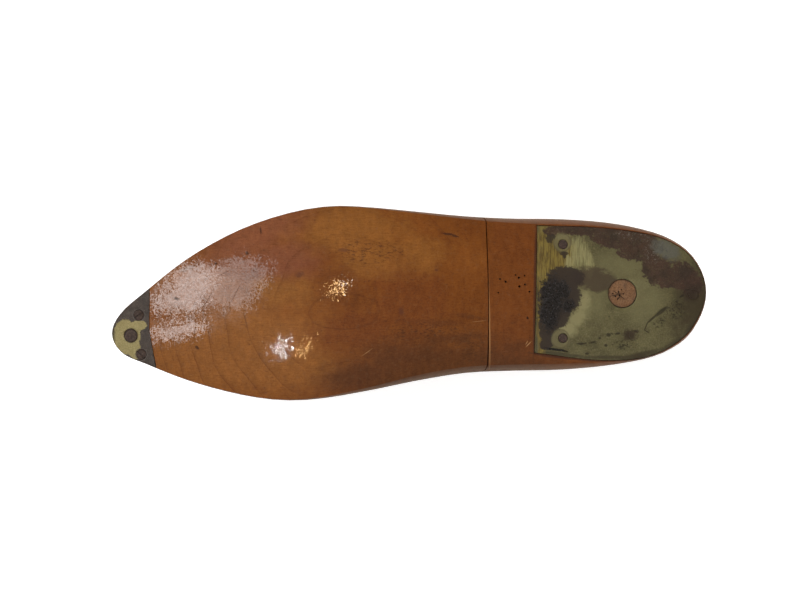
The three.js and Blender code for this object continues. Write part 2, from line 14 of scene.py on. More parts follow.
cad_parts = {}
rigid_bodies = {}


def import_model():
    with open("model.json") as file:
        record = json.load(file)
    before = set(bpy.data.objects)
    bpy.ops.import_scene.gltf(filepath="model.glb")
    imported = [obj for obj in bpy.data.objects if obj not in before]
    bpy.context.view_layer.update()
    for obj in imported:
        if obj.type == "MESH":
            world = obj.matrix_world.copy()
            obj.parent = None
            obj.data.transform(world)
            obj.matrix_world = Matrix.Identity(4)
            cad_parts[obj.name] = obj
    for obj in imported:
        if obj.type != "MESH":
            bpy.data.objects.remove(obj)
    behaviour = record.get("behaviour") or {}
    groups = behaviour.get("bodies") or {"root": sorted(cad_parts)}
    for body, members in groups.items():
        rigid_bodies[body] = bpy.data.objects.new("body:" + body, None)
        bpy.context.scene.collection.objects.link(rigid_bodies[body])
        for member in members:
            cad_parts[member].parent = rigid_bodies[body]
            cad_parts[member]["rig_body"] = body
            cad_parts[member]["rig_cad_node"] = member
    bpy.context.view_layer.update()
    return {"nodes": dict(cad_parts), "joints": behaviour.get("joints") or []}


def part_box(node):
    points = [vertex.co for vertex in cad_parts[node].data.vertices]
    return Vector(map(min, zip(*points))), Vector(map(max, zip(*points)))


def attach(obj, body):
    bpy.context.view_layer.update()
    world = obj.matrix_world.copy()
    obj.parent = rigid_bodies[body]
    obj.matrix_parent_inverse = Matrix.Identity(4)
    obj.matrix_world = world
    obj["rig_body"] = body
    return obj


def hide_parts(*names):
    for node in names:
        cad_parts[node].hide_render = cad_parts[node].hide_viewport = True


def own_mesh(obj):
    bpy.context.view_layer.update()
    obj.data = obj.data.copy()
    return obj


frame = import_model()
MM = 0.001

# ---- Room --------------------------------------------------------------------------------------
# A pale bench top under a last, seen from straight above its sole, in even daylight. Small lamps
# overhead make the sparks on the varnish, and a window beyond the toe its pale sheen, which is
# also partly painted into the maple's colour.

bpy.ops.object.select_all(action="DESELECT")
CAMERA_PLACE = Vector((-8, -1.4, 700)) * MM
bpy.ops.object.camera_add(location=CAMERA_PLACE, rotation=(0, 0, 0))
camera = bpy.context.object
camera.name = "camera"
camera.data.lens = 59.73
camera.data.clip_start = 0.01
camera.data.clip_end = 50
bpy.context.scene.camera = camera

bpy.ops.mesh.primitive_plane_add(size=12, location=(0, 0, 0))
floor = bpy.context.object
floor.name = "bench"
paint = bpy.data.materials.new("bench_paint")
paint.use_nodes = True
white = paint.node_tree
matt = white.nodes["Principled BSDF"]
matt.inputs["Base Color"].default_value = (0.8, 0.8, 0.8, 1)
matt.inputs["Roughness"].default_value = 0.9
matt.inputs["Specular IOR Level"].default_value = 0.0
bright = white.nodes.new("ShaderNodeEmission")
bright.inputs["Strength"].default_value = 0.62
lit = white.nodes.new("ShaderNodeAddShader")
white.links.new(matt.outputs[0], lit.inputs[0])
white.links.new(bright.outputs[0], lit.inputs[1])
dim = white.nodes.new("ShaderNodeBsdfDiffuse")
dim.inputs["Color"].default_value = (0.56, 0.46, 0.37, 1)
seen = white.nodes.new("ShaderNodeMixShader")
white.links.new(white.nodes.new("ShaderNodeLightPath").outputs["Is Camera Ray"], seen.inputs[0])
white.links.new(dim.outputs[0], seen.inputs[1])
white.links.new(lit.outputs[0], seen.inputs[2])
white.links.new(seen.outputs[0], white.nodes["Material Output"].inputs[0])
floor.data.materials.append(paint)

daylight = bpy.data.worlds.new("daylight")
daylight.use_nodes = True
sky = daylight.node_tree
upwards = sky.nodes.new("ShaderNodeSeparateXYZ")
sky.links.new(sky.nodes.new("ShaderNodeTexCoord").outputs["Generated"], upwards.inputs[0])
overhead = sky.nodes.new("ShaderNodeMapRange")
overhead.interpolation_type = "SMOOTHSTEP"
for label, value in (("From Min", 0.1), ("From Max", 0.8), ("To Min", 0.40), ("To Max", 0.08)):
    overhead.inputs[label].default_value = value
sky.links.new(upwards.outputs["Z"], overhead.inputs["Value"])
glow = sky.nodes["Background"]
glow.inputs["Color"].default_value = (1, 0.97, 0.94, 1)
sky.links.new(overhead.outputs[0], glow.inputs["Strength"])
wall = sky.nodes.new("ShaderNodeBackground")
wall.inputs["Color"].default_value = (0.9, 0.9, 0.9, 1)
shown = sky.nodes.new("ShaderNodeMixShader")
sky.links.new(sky.nodes.new("ShaderNodeLightPath").outputs["Is Camera Ray"], shown.inputs[0])
sky.links.new(glow.outputs[0], shown.inputs[1])
sky.links.new(wall.outputs[0], shown.inputs[2])
sky.links.new(shown.outputs[0], sky.nodes["World Output"].inputs[0])
bpy.context.scene.world = daylight
bpy.context.scene.view_settings.view_transform = "Standard"
bpy.context.scene.view_settings.look = "None"


def lamp(name, place, aim, width, height, watts, tint=(1, 1, 1)):
    """A flat lamp at a place in millimetres, facing another."""
    bpy.ops.object.light_add(type="AREA", location=Vector(place) * MM)
    made = bpy.context.object
    made.name = name
    made.data.shape = "RECTANGLE"
    made.data.size = width * MM
    made.data.size_y = height * MM
    made.data.energy = watts
    made.data.color = tint
    made.rotation_euler = (Vector(aim) - Vector(place)).to_track_quat("-Z", "Y").to_euler()
    return made


LAMP_HEIGHT = 1100
WARM, WARMER = (1, 0.62, 0.26), (1, 0.6, 0.24)
soft_box = lamp("soft_box", (-300, 1000, 1500), (0, 0, 40), 900, 700, 19.4)
fill_box = lamp("fill_box", (200, -900, 1500), (0, 0, 40), 900, 700, 11.2)
soft_box.visible_glossy = fill_box.visible_glossy = False
lamp("lamp_near", (-206, -165, LAMP_HEIGHT), (-60.6, -18.2, 89), 24, 20, 0.42)
lamp("lamp_near_warm", (-100, -182, LAMP_HEIGHT), (-50.4, -20, 89), 20, 20, 0.17, WARMER)
lamp("lamp_far", (-14, 66, LAMP_HEIGHT), (-33.6, 9.3, 89), 20, 34, 0.3, WARM)
lamp("lamp_far_white", (16, 76, LAMP_HEIGHT), (-30, 10.6, 89), 8, 8, 0.04)
for pane, x, y, across, along, watts in (
    ("upper", -528, 126, 196, 135, 1.16), ("inner", -375, 122, 190, 150, 0.6),
    ("lower", -528, -50, 66, 135, 0.4),
):
    lamp("window_" + pane, (x, y, LAMP_HEIGHT), (-105, -2, 86), across, along, watts, (1, 0.97, 0.97))

# ---- Wooden halves -----------------------------------------------------------------------------
# One block of maple, turned to the shape of a foot, then sawn in two across the waist and cut
# out for the hinge. The lower side of the hollow waist is darkened as painted shade, and the toe
# is paler where the varnish is rubbed thin, partly as a painted sheen.


def put(tree, kind, links=None, **settings):
    """Adds a shader node: links maps an input to another node's output or to a plain value."""
    made = tree.nodes.new("ShaderNode" + kind)
    for name, value in settings.items():
        setattr(made, name, value)
    for name, value in (links or {}).items():
        if isinstance(value, bpy.types.NodeSocket):
            tree.links.new(value, made.inputs[name])
        else:
            made.inputs[name].default_value = value
    return made


def ramp(tree, value, *stops):
    """A colour ramp from (place, colour or grey) stops."""
    made = put(tree, "ValToRGB", {0: value})
    band = made.color_ramp.elements
    while len(band) < len(stops):
        band.new(0.5)
    for point, (place, colour) in zip(band, stops):
        point.position = place
        point.color = (colour,) * 3 + (1,) if isinstance(colour, (int, float)) else (*colour, 1)
    return made.outputs[0]


def mix(tree, share, below, above, blend="MIX"):
    """One colour over another, by a share from 0 to 1."""
    made = put(tree, "MixRGB", {0: share}, blend_type=blend)
    for place, colour in ((1, below), (2, above)):
        if isinstance(colour, bpy.types.NodeSocket):
            tree.links.new(colour, made.inputs[place])
        else:
            made.inputs[place].default_value = (*colour, 1)
    return made.outputs[0]


def maths(tree, operation, *values):
    """A Math node on sockets or numbers."""
    return put(tree, "Math", dict(enumerate(values)), operation=operation).outputs[0]


def lay(tree, below, mask, share, colour):
    """A share of a colour laid over another where the mask is."""
    return mix(tree, maths(tree, "MULTIPLY", mask, share), below, colour)


def noise(tree, place, size, detail=3.0, roughness=0.55, stretch=(1, 1, 1)):
    """Noise with features of about `size` millimetres, drawn out along an axis by `stretch`."""
    spread = put(tree, "Mapping", {0: place, 3: tuple(1 / (size * s) for s in stretch)})
    made = put(tree, "TexNoise", {"Vector": spread.outputs[0], "Scale": 1.0, "Detail": detail})
    made.inputs["Roughness"].default_value = roughness
    return made.outputs["Fac"]


def new_group(name, inputs, outputs):
    """An empty node group with named sockets, and its input and output nodes."""
    tree = bpy.data.node_groups.new(name, "ShaderNodeTree")
    for way, sockets in (("INPUT", inputs), ("OUTPUT", outputs)):
        for label, kind in sockets:
            tree.interface.new_socket(label, in_out=way, socket_type="NodeSocket" + kind)
    return tree, tree.nodes.new("NodeGroupInput"), tree.nodes.new("NodeGroupOutput")


# How far a place is from an oval spot, as a share of the spot's reach.
spot_group, taken, given = new_group(
    "spot", [("Place", "Vector"), ("Middle", "Vector"), ("Reach", "Vector"), ("Turn", "Float")],
    [("Away", "Float")],
)
moved = put(
    spot_group, "VectorMath", {0: taken.outputs["Place"], 1: taken.outputs["Middle"]},
    operation="SUBTRACT",
)
turned = put(spot_group, "VectorRotate", {"Vector": moved.outputs[0]}, rotation_type="Z_AXIS")
spot_group.links.new(taken.outputs["Turn"], turned.inputs["Angle"])
scaled = put(
    spot_group, "VectorMath", {0: turned.outputs[0], 1: taken.outputs["Reach"]}, operation="DIVIDE"
)
away = put(spot_group, "VectorMath", {0: scaled.outputs[0]}, operation="LENGTH")
spot_group.links.new(away.outputs["Value"], given.inputs[0])
SPOT_HEIGHT, SPOT_MERGE = 75, 0.15  # the sole's height, and how softly neighbouring spots join


def stain(tree, place, spots, soft=0.15, ragged=1.2, grain=3.0, stretch=(1, 1, 1), deep=60):
    """Spots run together: (x, y, reach along x and y, turn), in millimetres and degrees."""
    away = None
    for x, y, along, across, turn in spots:
        made = put(tree, "Group", node_tree=spot_group)
        tree.links.new(place, made.inputs["Place"])
        made.inputs["Middle"].default_value = (x, y, SPOT_HEIGHT)
        made.inputs["Reach"].default_value = (along, across, deep)
        made.inputs["Turn"].default_value = -math.radians(turn)
        here = made.outputs[0]
        away = here if away is None else maths(tree, "SMOOTH_MIN", away, here, SPOT_MERGE)
    if ragged:
        shaken = maths(tree, "SUBTRACT", noise(tree, place, grain, 7, 0.68, stretch), 0.5)
        away = maths(tree, "MULTIPLY_ADD", shaken, ragged, away)
    return put(
        tree, "MapRange",
        {"Value": away, "From Min": 1 + soft, "From Max": 1 - soft, "To Min": 0.0, "To Max": 1.0},
        interpolation_type="SMOOTHSTEP",
    ).outputs[0]


# Dark specks of dirt and pores, scattered over a surface.
speck_group, taken, given = new_group(
    "specks", [("Place", "Vector"), ("Spacing", "Float"), ("Size", "Float"), ("Share", "Float")],
    [("Mask", "Float")],
)
shrunk = put(speck_group, "VectorMath", {0: taken.outputs["Place"]}, operation="SCALE")
speck_group.links.new(
    maths(speck_group, "DIVIDE", 1.0, taken.outputs["Spacing"]), shrunk.inputs["Scale"]
)
cells = put(speck_group, "TexVoronoi", {"Vector": shrunk.outputs[0], "Scale": 1.0})
own = put(speck_group, "SeparateColor", {0: cells.outputs["Color"]})
wanted = maths(speck_group, "LESS_THAN", own.outputs[0], taken.outputs["Share"])
wide = maths(
    speck_group, "MULTIPLY", taken.outputs["Size"], maths(speck_group, "ADD", 0.4, own.outputs[1])
)
core = maths(speck_group, "MULTIPLY", wide, 0.3)
inside = put(
    speck_group, "MapRange",
    {"Value": cells.outputs["Distance"], "From Min": wide, "From Max": core, "To Min": 0.0, "To Max": 1.0},
)
speck_group.links.new(maths(speck_group, "MULTIPLY", inside.outputs[0], wanted), given.inputs[0])


def specks(tree, place, spacing, size, share):
    """Specks about `spacing` mm apart, `size` of that wide, in a share of the places."""
    made = put(tree, "Group", node_tree=speck_group)
    tree.links.new(place, made.inputs["Place"])
    for label, value in (("Spacing", spacing), ("Size", size), ("Share", share)):
        made.inputs[label].default_value = value
    return made.outputs[0]


def new_material(name):
    """A material with its shader and the place on the object in millimetres."""
    made = bpy.data.materials.new(name)
    made.use_nodes = True
    tree = made.node_tree
    where = put(tree, "TexCoord").outputs["Object"]
    place = put(tree, "Mapping", {0: where, 3: (1000, 1000, 1000)}).outputs[0]
    return made, tree, tree.nodes["Principled BSDF"], place


HINGE_FRONT, HINGE_REAR = (
    Vector(next(j for j in frame["joints"] if j["name"] == name)["pos_m"])
    for name in ("forepart_fold", "link_swing")
)
hinge_middle = (HINGE_FRONT + HINGE_REAR) / 2
hinge_x = (HINGE_REAR - HINGE_FRONT).normalized()
hinge_y = -Vector(frame["joints"][0]["axis"]).normalized()
hinge_z = hinge_x.cross(hinge_y)

maple, tree, shader, place = new_material("varnished_maple")
fibre = ramp(tree, noise(tree, place, 0.45, 4, 0.66, (9, 1, 1)), (0.34, 0.0), (0.66, 1.0))
dashes = ramp(tree, noise(tree, place, 0.75, 3, 0.55, (5, 1, 1)), (0.62, 0.0), (0.7, 1.0))
cloud = noise(tree, place, 24, 3, 0.5, (1.5, 1, 1))
blotch = noise(tree, place, 5, 5, 0.6, (1.8, 1, 1))
curl = noise(tree, place, 3.2, 3, 0.55, (0.8, 1.6, 1))
grime = noise(tree, place, 1.6, 6, 0.7)

# The rings lie nearly level, bowed down round the ball, so they show as wide ovals there and as
# long lines down the walls.
RING_THICKNESS, RING_BOW = 4.5, 1550.0
sway = put(tree, "TexNoise", {"Vector": place, "Scale": 0.022, "Detail": 2.0}).outputs["Fac"]
from_ball = put(tree, "Mapping", {0: place, 1: (23, 2, 0), 3: (1, 1, 0)}).outputs[0]
round_ball = put(tree, "VectorMath", {0: from_ball, 1: from_ball}, operation="DOT_PRODUCT")
round_ball = round_ball.outputs["Value"]
depth = put(tree, "SeparateXYZ", {0: place}).outputs[2]
level = maths(tree, "MULTIPLY_ADD", depth, -1 / RING_THICKNESS, maths(tree, "MULTIPLY", sway, 1.3))
level = maths(tree, "MULTIPLY_ADD", round_ball, 1 / RING_BOW, level)
level = maths(tree, "MULTIPLY_ADD", blotch, 0.12, level)
rings = maths(tree, "FRACT", level)
late_wood = ramp(tree, rings, (0.0, 0.1), (0.6, 0.0), (0.93, 0.45), (0.965, 1.0), (1.0, 0.1))
third_rings = maths(tree, "FRACT", maths(tree, "MULTIPLY", level, 3.0))
fine_rings = ramp(tree, third_rings, (0.0, 0.0), (0.7, 0.25), (0.9, 1.0), (1.0, 0.0))
ring_share = ramp(tree, noise(tree, place, 22, 3, 0.5), (0.38, 0.03), (0.64, 0.42))
near_toe = stain(tree, place, [(-88, -26, 34, 24, 0)], 0.6, 0.6, 12)
ring_share = maths(tree, "MULTIPLY_ADD", near_toe, 0.26, ring_share)

tone = ramp(
    tree, cloud, (0.3, (0.128, 0.037, 0.0066)), (0.5, (0.158, 0.049, 0.0086)),
    (0.7, (0.193, 0.063, 0.0116)),
)
low_orange = stain(tree, place, [(-84, -22, 42, 20, 8), (-62, -30, 30, 12, 0)], 0.5, 1.4, 16)
tone = lay(tree, tone, low_orange, 0.75, (0.246, 0.095, 0.0215))
golden = stain(
    tree, place, [(-30, 34, 30, 12, -4), (-8, 22, 26, 10, 0), (-62, 6, 14, 8, 0)], 0.5, 1.8, 12
)
tone = lay(tree, tone, golden, 0.6, (0.250, 0.102, 0.0215))
# Painted reflection: a rosy tint laid on the upper side of the toe half.
rose_reflection = stain(tree, place, [(-75, 31, 24, 10, 24), (-62, 20, 16, 9, 0)], 0.55, 1.4, 14)
tone = lay(tree, tone, rose_reflection, 0.6, (0.200, 0.066, 0.034))
redder = stain(tree, place, [(-24, -12, 24, 9, 8), (-2, 0, 16, 18, 0)], 0.5, 2.0, 9)
tone = lay(tree, tone, redder, 0.6, (0.128, 0.036, 0.009))
heel_tone = stain(tree, place, [(95, 4, 61, 90, 0)], 0.03, 0)
tone = lay(tree, tone, heel_tone, 0.65, (0.147, 0.044, 0.0100))
# Painted shade: the lower side of the waist, turned away from the light, is darkened.
waist = stain(tree, place, [(16, -33, 56, 18, 3), (-20, -35, 24, 9, 0)], 0.55, 1.8, 9, (2, 1, 1))
tone = lay(tree, tone, waist, 0.75, (0.070, 0.0245, 0.0085))
oval = stain(tree, place, [(-32, -4, 17.4, 8.9, 3)], 0.03, 0.35, 6)
inner = stain(tree, place, [(-32, -4, 16.4, 8.0, 3)], 0.05, 0.35, 6)
oval = maths(tree, "SUBTRACT", oval, maths(tree, "MULTIPLY", oval, inner))
tone = lay(tree, tone, oval, 0.38, (0.080, 0.026, 0.007))
flecked = stain(
    tree, place, [(-20, 24, 17, 5.5, 0), (4, -14, 16, 5, 0), (30, -22, 10, 7, 0)], 0.5, 2.4, 4
)
short_dashes = ramp(tree, noise(tree, place, 0.8, 3, 0.6, (2.6, 1, 1)), (0.54, 0.0), (0.6, 1.0))
tone = mix(
    tree, maths(tree, "MULTIPLY", maths(tree, "MULTIPLY", flecked, short_dashes), 0.8), tone,
    (0.070, 0.026, 0.009),
)
smears = stain(
    tree, place,
    [(24, -16, 17, 1.6, 4), (2, -24, 20, 3, 2), (10, -9, 14, 1.4, -3), (27, -6.5, 8, 0.9, -8)],
    0.5, 2.6, 3, (3, 1, 1),
)
tone = lay(tree, tone, smears, 0.35, (0.075, 0.027, 0.010))
tone = mix(tree, maths(tree, "MULTIPLY", late_wood, ring_share), tone, (0.088, 0.027, 0.006))
tone = mix(
    tree, maths(tree, "MULTIPLY", fine_rings, maths(tree, "MULTIPLY", ring_share, 0.22)), tone,
    (0.10, 0.032, 0.007),
)
tone = mix(tree, maths(tree, "MULTIPLY", fibre, 0.5), tone, (0.6, 0.54, 0.44), "MULTIPLY")
tone = mix(tree, ramp(tree, curl, (0.35, 0.0), (0.65, 0.56)), tone, (1.36, 1.36, 1.3), "MULTIPLY")
tone = lay(tree, tone, dashes, 0.5, (0.078, 0.027, 0.009))
tone = mix(
    tree, ramp(tree, noise(tree, place, 0.7, 5, 0.78), (0.48, 0.0), (0.66, 0.62)), tone,
    (0.55, 0.5, 0.45), "MULTIPLY",
)

# Rubbed places at the toe, where the varnish is thin, dusty and crazed. Their pale colour is
# partly worn varnish and partly a painted sheen, the window's reflection.
toe_wear_and_sheen = stain(
    tree, place, [(-108, 6, 24, 12, 0), (-96, -1, 20, 11, 0), (-112, -11, 14, 4.5, 0)], 0.4, 1.6, 5
)
speckle = ramp(tree, noise(tree, place, 0.8, 5, 0.75, (1.6, 1, 1)), (0.4, 0.0), (0.62, 1.0))
# Painted paler here: partly worn, dusty varnish and partly a painted sheen.
tone = mix(
    tree, maths(tree, "MULTIPLY", toe_wear_and_sheen, maths(tree, "MULTIPLY_ADD", speckle, 0.26, 0.05)), tone,
    (0.40, 0.245, 0.165),
)
bent = put(tree, "TexNoise", {"Vector": place, "Scale": 0.16, "Detail": 4.0}).outputs["Color"]
bent = put(tree, "VectorMath", {0: bent, "Scale": 9.0}, operation="SCALE").outputs[0]
cracked = put(tree, "VectorMath", {0: place, 1: bent}, operation="ADD").outputs[0]
cracked = put(tree, "Mapping", {0: cracked, 3: (0.11, 0.045, 0.05)}).outputs[0]
crazing = put(tree, "TexVoronoi", {"Vector": cracked, "Scale": 1.0}, feature="DISTANCE_TO_EDGE")
crazing = ramp(tree, crazing.outputs["Distance"], (0.0, 1.0), (0.014, 0.0))
crazed = stain(tree, place, [(-92, 3, 15, 13, 0), (-108, -4, 9, 6, 0)], 0.3, 3.2, 8)
crazing = maths(tree, "MULTIPLY", crazing, crazed)
tone = lay(tree, tone, crazing, 0.45, (0.09, 0.035, 0.015))
hairlines = stain(
    tree, place,
    [
        (-95.5, 2, 4.9, 0.2, 60), (-97.9, -5, 0.2, 3.2, 0), (-82.4, 4.9, 5.6, 0.2, 61),
        (-85.4, -1.6, 0.2, 2.2, 0), (-78, -8, 0.2, 5, 14), (-102, -14, 0.2, 4, -6),
        (-88, 14, 3.4, 0.16, 24),
    ],
    0.6, 1.1, 2.2,
)
tone = lay(tree, tone, hairlines, 0.6, (0.075, 0.032, 0.015))
scuffs = stain(
    tree, place,
    [
        (-117, 15, 3.2, 1.3, 35), (-112, 17.5, 3, 1.5, 20), (-119.5, 11, 1.3, 1.8, 0),
        (-106, 16, 4, 1.2, 20),
    ],
    0.3, 2.4, 1.5,
)
tone = lay(tree, tone, scuffs, 0.6, (0.12, 0.055, 0.028))

# Knots, nicks and other single marks, and dirt in the pores.
pores = specks(tree, place, 2.6, 0.17, 0.4)
dirt = specks(tree, place, 9, 0.06, 0.6)
marks = stain(
    tree, place,
    [
        (-110.7, 2, 1.4, 0.55, -10), (-71.1, 33.8, 0.4, 1.7, 4), (-77.4, 23.3, 0.8, 0.9, 0),
        (-92, 18.4, 0.7, 0.6, 0), (16.4, 32.4, 2.7, 0.55, -6), (19.6, 31.6, 1.8, 0.5, -12),
        (-100.9, -20.8, 1.1, 0.7, -40), (54.4, -7, 0.5, 0.6, 0),
    ],
    0.4, 1.6, 0.6,
)
knots = stain(
    tree, place,
    [
        (-52.7, 13.2, 1.9, 1.3, 10), (-32.2, 24.5, 2.2, 0.8, 0), (-5.5, -4, 1.0, 1.8, 10),
        (11, 15.4, 0.9, 0.7, 0),
    ],
    0.6, 2.2, 1.4,
)
tone = lay(tree, tone, knots, 0.6, (0.070, 0.026, 0.015))
# Painted shadow: a dark line in the wood along the gap round the heel plate.
plate_gap_shadow = stain(
    tree, place,
    [
        (58.1, 6.3, 0.8, 31, -1.0), (70, -25.5, 14, 1.0, -7), (91, -27.2, 12, 1.0, 0),
        (108, -26.3, 10, 1.0, 10),
    ],
    0.3, 0.3, 1.5, deep=9,
)
tone = lay(tree, tone, plate_gap_shadow, 0.8, (0.045, 0.018, 0.010))
tone = mix(
    tree, maths(tree, "MULTIPLY", maths(tree, "MAXIMUM", pores, dirt), 0.45), tone,
    (0.045, 0.018, 0.008),
)
tone = lay(tree, tone, marks, 0.75, (0.022, 0.012, 0.008))
scratches = stain(
    tree, place,
    [
        (55.1, -19.6, 1.7, 0.22, 46), (54.2, -18.9, 1.0, 0.16, 60), (-21.5, -23, 3.2, 0.13, 35),
        (31, -8.6, 3.6, 0.07, 6), (36.35, -12, 0.24, 19, 1.2),
    ],
    0.5, 0.4, 1.0, deep=20,
)
tone = lay(tree, tone, scratches, 0.7, (0.42, 0.22, 0.09))
grey_film = ramp(tree, grime, (0.52, 0.0), (0.72, 0.22))
tone = mix(tree, grey_film, tone, (0.15, 0.085, 0.045))
tree.links.new(tone, shader.inputs["Base Color"])

worn_rough = maths(tree, "MULTIPLY_ADD", toe_wear_and_sheen, 0.15, 0.38)
tree.links.new(maths(tree, "MULTIPLY_ADD", grime, 0.2, worn_rough), shader.inputs["Roughness"])
shader.inputs["Specular IOR Level"].default_value = 0.14
coat_left = maths(tree, "MULTIPLY_ADD", blotch, -0.25, 0.74)
thin_spots = noise(tree, place, 0.75, 5, 0.7, (1.5, 1, 1))
coat_left = maths(tree, "MULTIPLY", coat_left, ramp(tree, thin_spots, (0.4, 0.5), (0.6, 1.0)))
unbroken = maths(tree, "MULTIPLY_ADD", maths(tree, "MAXIMUM", hairlines, marks), -0.6, 1.0)
coat_left = maths(tree, "MULTIPLY", coat_left, unbroken)
tree.links.new(coat_left, shader.inputs["Coat Weight"])
shader.inputs["Coat Roughness"].default_value = 0.06
orange_peel = noise(tree, place, 0.85, 2.5, 0.6, (1.3, 1, 1))
dimple = noise(tree, place, 4, 2, 0.5)
height = maths(tree, "MULTIPLY_ADD", dimple, 0.5, maths(tree, "MULTIPLY", orange_peel, 0.22))
cut_in = maths(tree, "MAXIMUM", marks, maths(tree, "MAXIMUM", crazing, hairlines))
height = maths(tree, "MULTIPLY_ADD", cut_in, -0.5, height)
height = maths(tree, "MULTIPLY_ADD", dirt, -0.4, height)

# The brushed varnish dried in tiny facets, each tilted about a degree, so a lamp breaks into sparks.
along = put(tree, "SeparateXYZ", {0: place}).outputs[0]
calmer = ramp(tree, maths(tree, "MULTIPLY", along, -0.01), (0.72, 1.0), (0.92, 0.75))
tilt = (0, 0, 0)
FACETS = ((0.5, 0.028), (0.75, 0.020))  # (size in mm, tilt) of two layers
for size, share in FACETS:
    cell = put(tree, "Mapping", {0: place, 3: (1 / size,) * 3}).outputs[0]
    cell = put(tree, "TexVoronoi", {"Vector": cell, "Scale": 1.0}).outputs["Color"]
    cell = put(tree, "VectorMath", {0: cell, 1: (0.5, 0.5, 0.5)}, operation="SUBTRACT").outputs[0]
    cell = put(tree, "VectorMath", {0: cell, "Scale": share}, operation="SCALE").outputs[0]
    tilt = put(tree, "VectorMath", {0: cell, 1: tilt}, operation="ADD").outputs[0]
tilt = put(tree, "VectorMath", {0: tilt, "Scale": calmer}, operation="SCALE").outputs[0]
shallow = maths(tree, "MULTIPLY", dimple, 0.4)
waves = put(tree, "Bump", {"Strength": 0.5, "Distance": 0.0002, "Height": shallow}).outputs[0]
faceted = put(tree, "VectorMath", {0: waves, 1: tilt}, operation="ADD").outputs[0]
faceted = put(tree, "VectorMath", {0: faceted}, operation="NORMALIZE").outputs[0]
tree.links.new(faceted, shader.inputs["Coat Normal"])
bump = put(tree, "Bump", {"Strength": 0.6, "Distance": 0.0002, "Height": height, "Normal": faceted})
tree.links.new(bump.outputs[0], shader.inputs["Normal"])


def from_cad(node, name):
    """A copy of a CAD piece with its faces joined up, ready for finer work."""
    bpy.ops.object.select_all(action="DESELECT")
    frame["nodes"][node].select_set(True)
    bpy.context.view_layer.objects.active = frame["nodes"][node]
    bpy.ops.object.duplicate()
    piece = bpy.context.object
    piece.parent = None
    piece.name = name
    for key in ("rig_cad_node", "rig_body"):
        del piece[key]
    piece.data.name = name
    piece.data.materials.clear()
    bpy.ops.mesh.customdata_custom_splitnormals_clear()
    bpy.ops.object.mode_set(mode="EDIT")
    bpy.ops.mesh.select_all(action="SELECT")
    bpy.ops.mesh.remove_doubles(threshold=2e-6)
    bpy.ops.object.mode_set(mode="OBJECT")
    return piece


def weigh_normals(piece, degrees=32):
    """Smooth shading that keeps the sharp edges and ignores thin slivers."""
    bpy.ops.object.select_all(action="DESELECT")
    piece.select_set(True)
    bpy.context.view_layer.objects.active = piece
    bpy.ops.object.shade_smooth_by_angle(angle=math.radians(degrees))
    piece.modifiers.new("weigh", "WEIGHTED_NORMAL").keep_sharp = True
    bpy.ops.object.modifier_apply(modifier="weigh")


tack_rust, tree, shader, place = new_material("tack_rust")
burnt = noise(tree, place, 0.5, 4, 0.6)
tree.links.new(
    ramp(tree, burnt, (0.35, (0.010, 0.006, 0.004)), (0.7, (0.035, 0.017, 0.009))),
    shader.inputs["Base Color"],
)
tree.links.new(maths(tree, "MULTIPLY_ADD", burnt, 0.3, 0.6), shader.inputs["Roughness"])
shader.inputs["Specular IOR Level"].default_value = 0.1
TACK_TOP, TACK_DEPTH = 82, 9
TACK_HOLES = [
    (41.1, 11.3, 0.62), (43.9, 10.1, 0.7), (48.7, 13.3, 0.5), (50.3, 12.0, 0.72), (53.1, 12.9, 0.58),
    (50.5, 7.9, 0.8), (53.1, 8.8, 0.68), (55.4, 5.5, 0.68), (40.3, 4.9, 0.5), (54.6, -7.1, 0.62),
]


def drill(piece, holes, top, depth):
    """Tack holes, each (x, y, radius) in millimetres, driven down from a height."""
    bpy.ops.object.select_all(action="DESELECT")
    piece.data.materials.append(tack_rust)
    cutters = []
    for x, y, radius in holes:
        bpy.ops.mesh.primitive_cone_add(
            vertices=10, radius1=radius * 0.5 * MM, radius2=radius * MM, depth=depth * MM,
            location=(x * MM, y * MM, (top - depth / 2) * MM),
            rotation=(math.radians(4 * math.sin(x)), math.radians(4 * math.cos(y)), 0),
        )
        cutters.append(bpy.context.object)
    for cutter in cutters:
        cutter.select_set(True)
    bpy.ops.object.join()
    awls = bpy.context.object
    awls.data.materials.append(tack_rust)
    bpy.context.view_layer.objects.active = piece
    cut = piece.modifiers.new("tacks", "BOOLEAN")
    cut.object = awls
    cut.operation = "DIFFERENCE"
    cut.solver = "EXACT"
    cut.material_mode = "TRANSFER"
    bpy.ops.object.modifier_apply(modifier="tacks")
    bpy.data.objects.remove(awls)


heel_wood = from_cad("heel_part", "heel_wood")
heel_wood.data.materials.append(maple)
drill(heel_wood, TACK_HOLES, TACK_TOP, TACK_DEPTH)
weigh_normals(heel_wood)
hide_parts("heel_part")
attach(heel_wood, "heel")

fore_wood = from_cad("forepart", "fore_wood")
fore_wood.data.materials.append(maple)
weigh_normals(fore_wood)
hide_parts("forepart")
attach(fore_wood, "fore")

# ---- Jack socket -------------------------------------------------------------------------------
# A flanged steel tube let into the flat top of the cone. The last is held on a bench pin by it.
# The whole tube is given one dull steel.


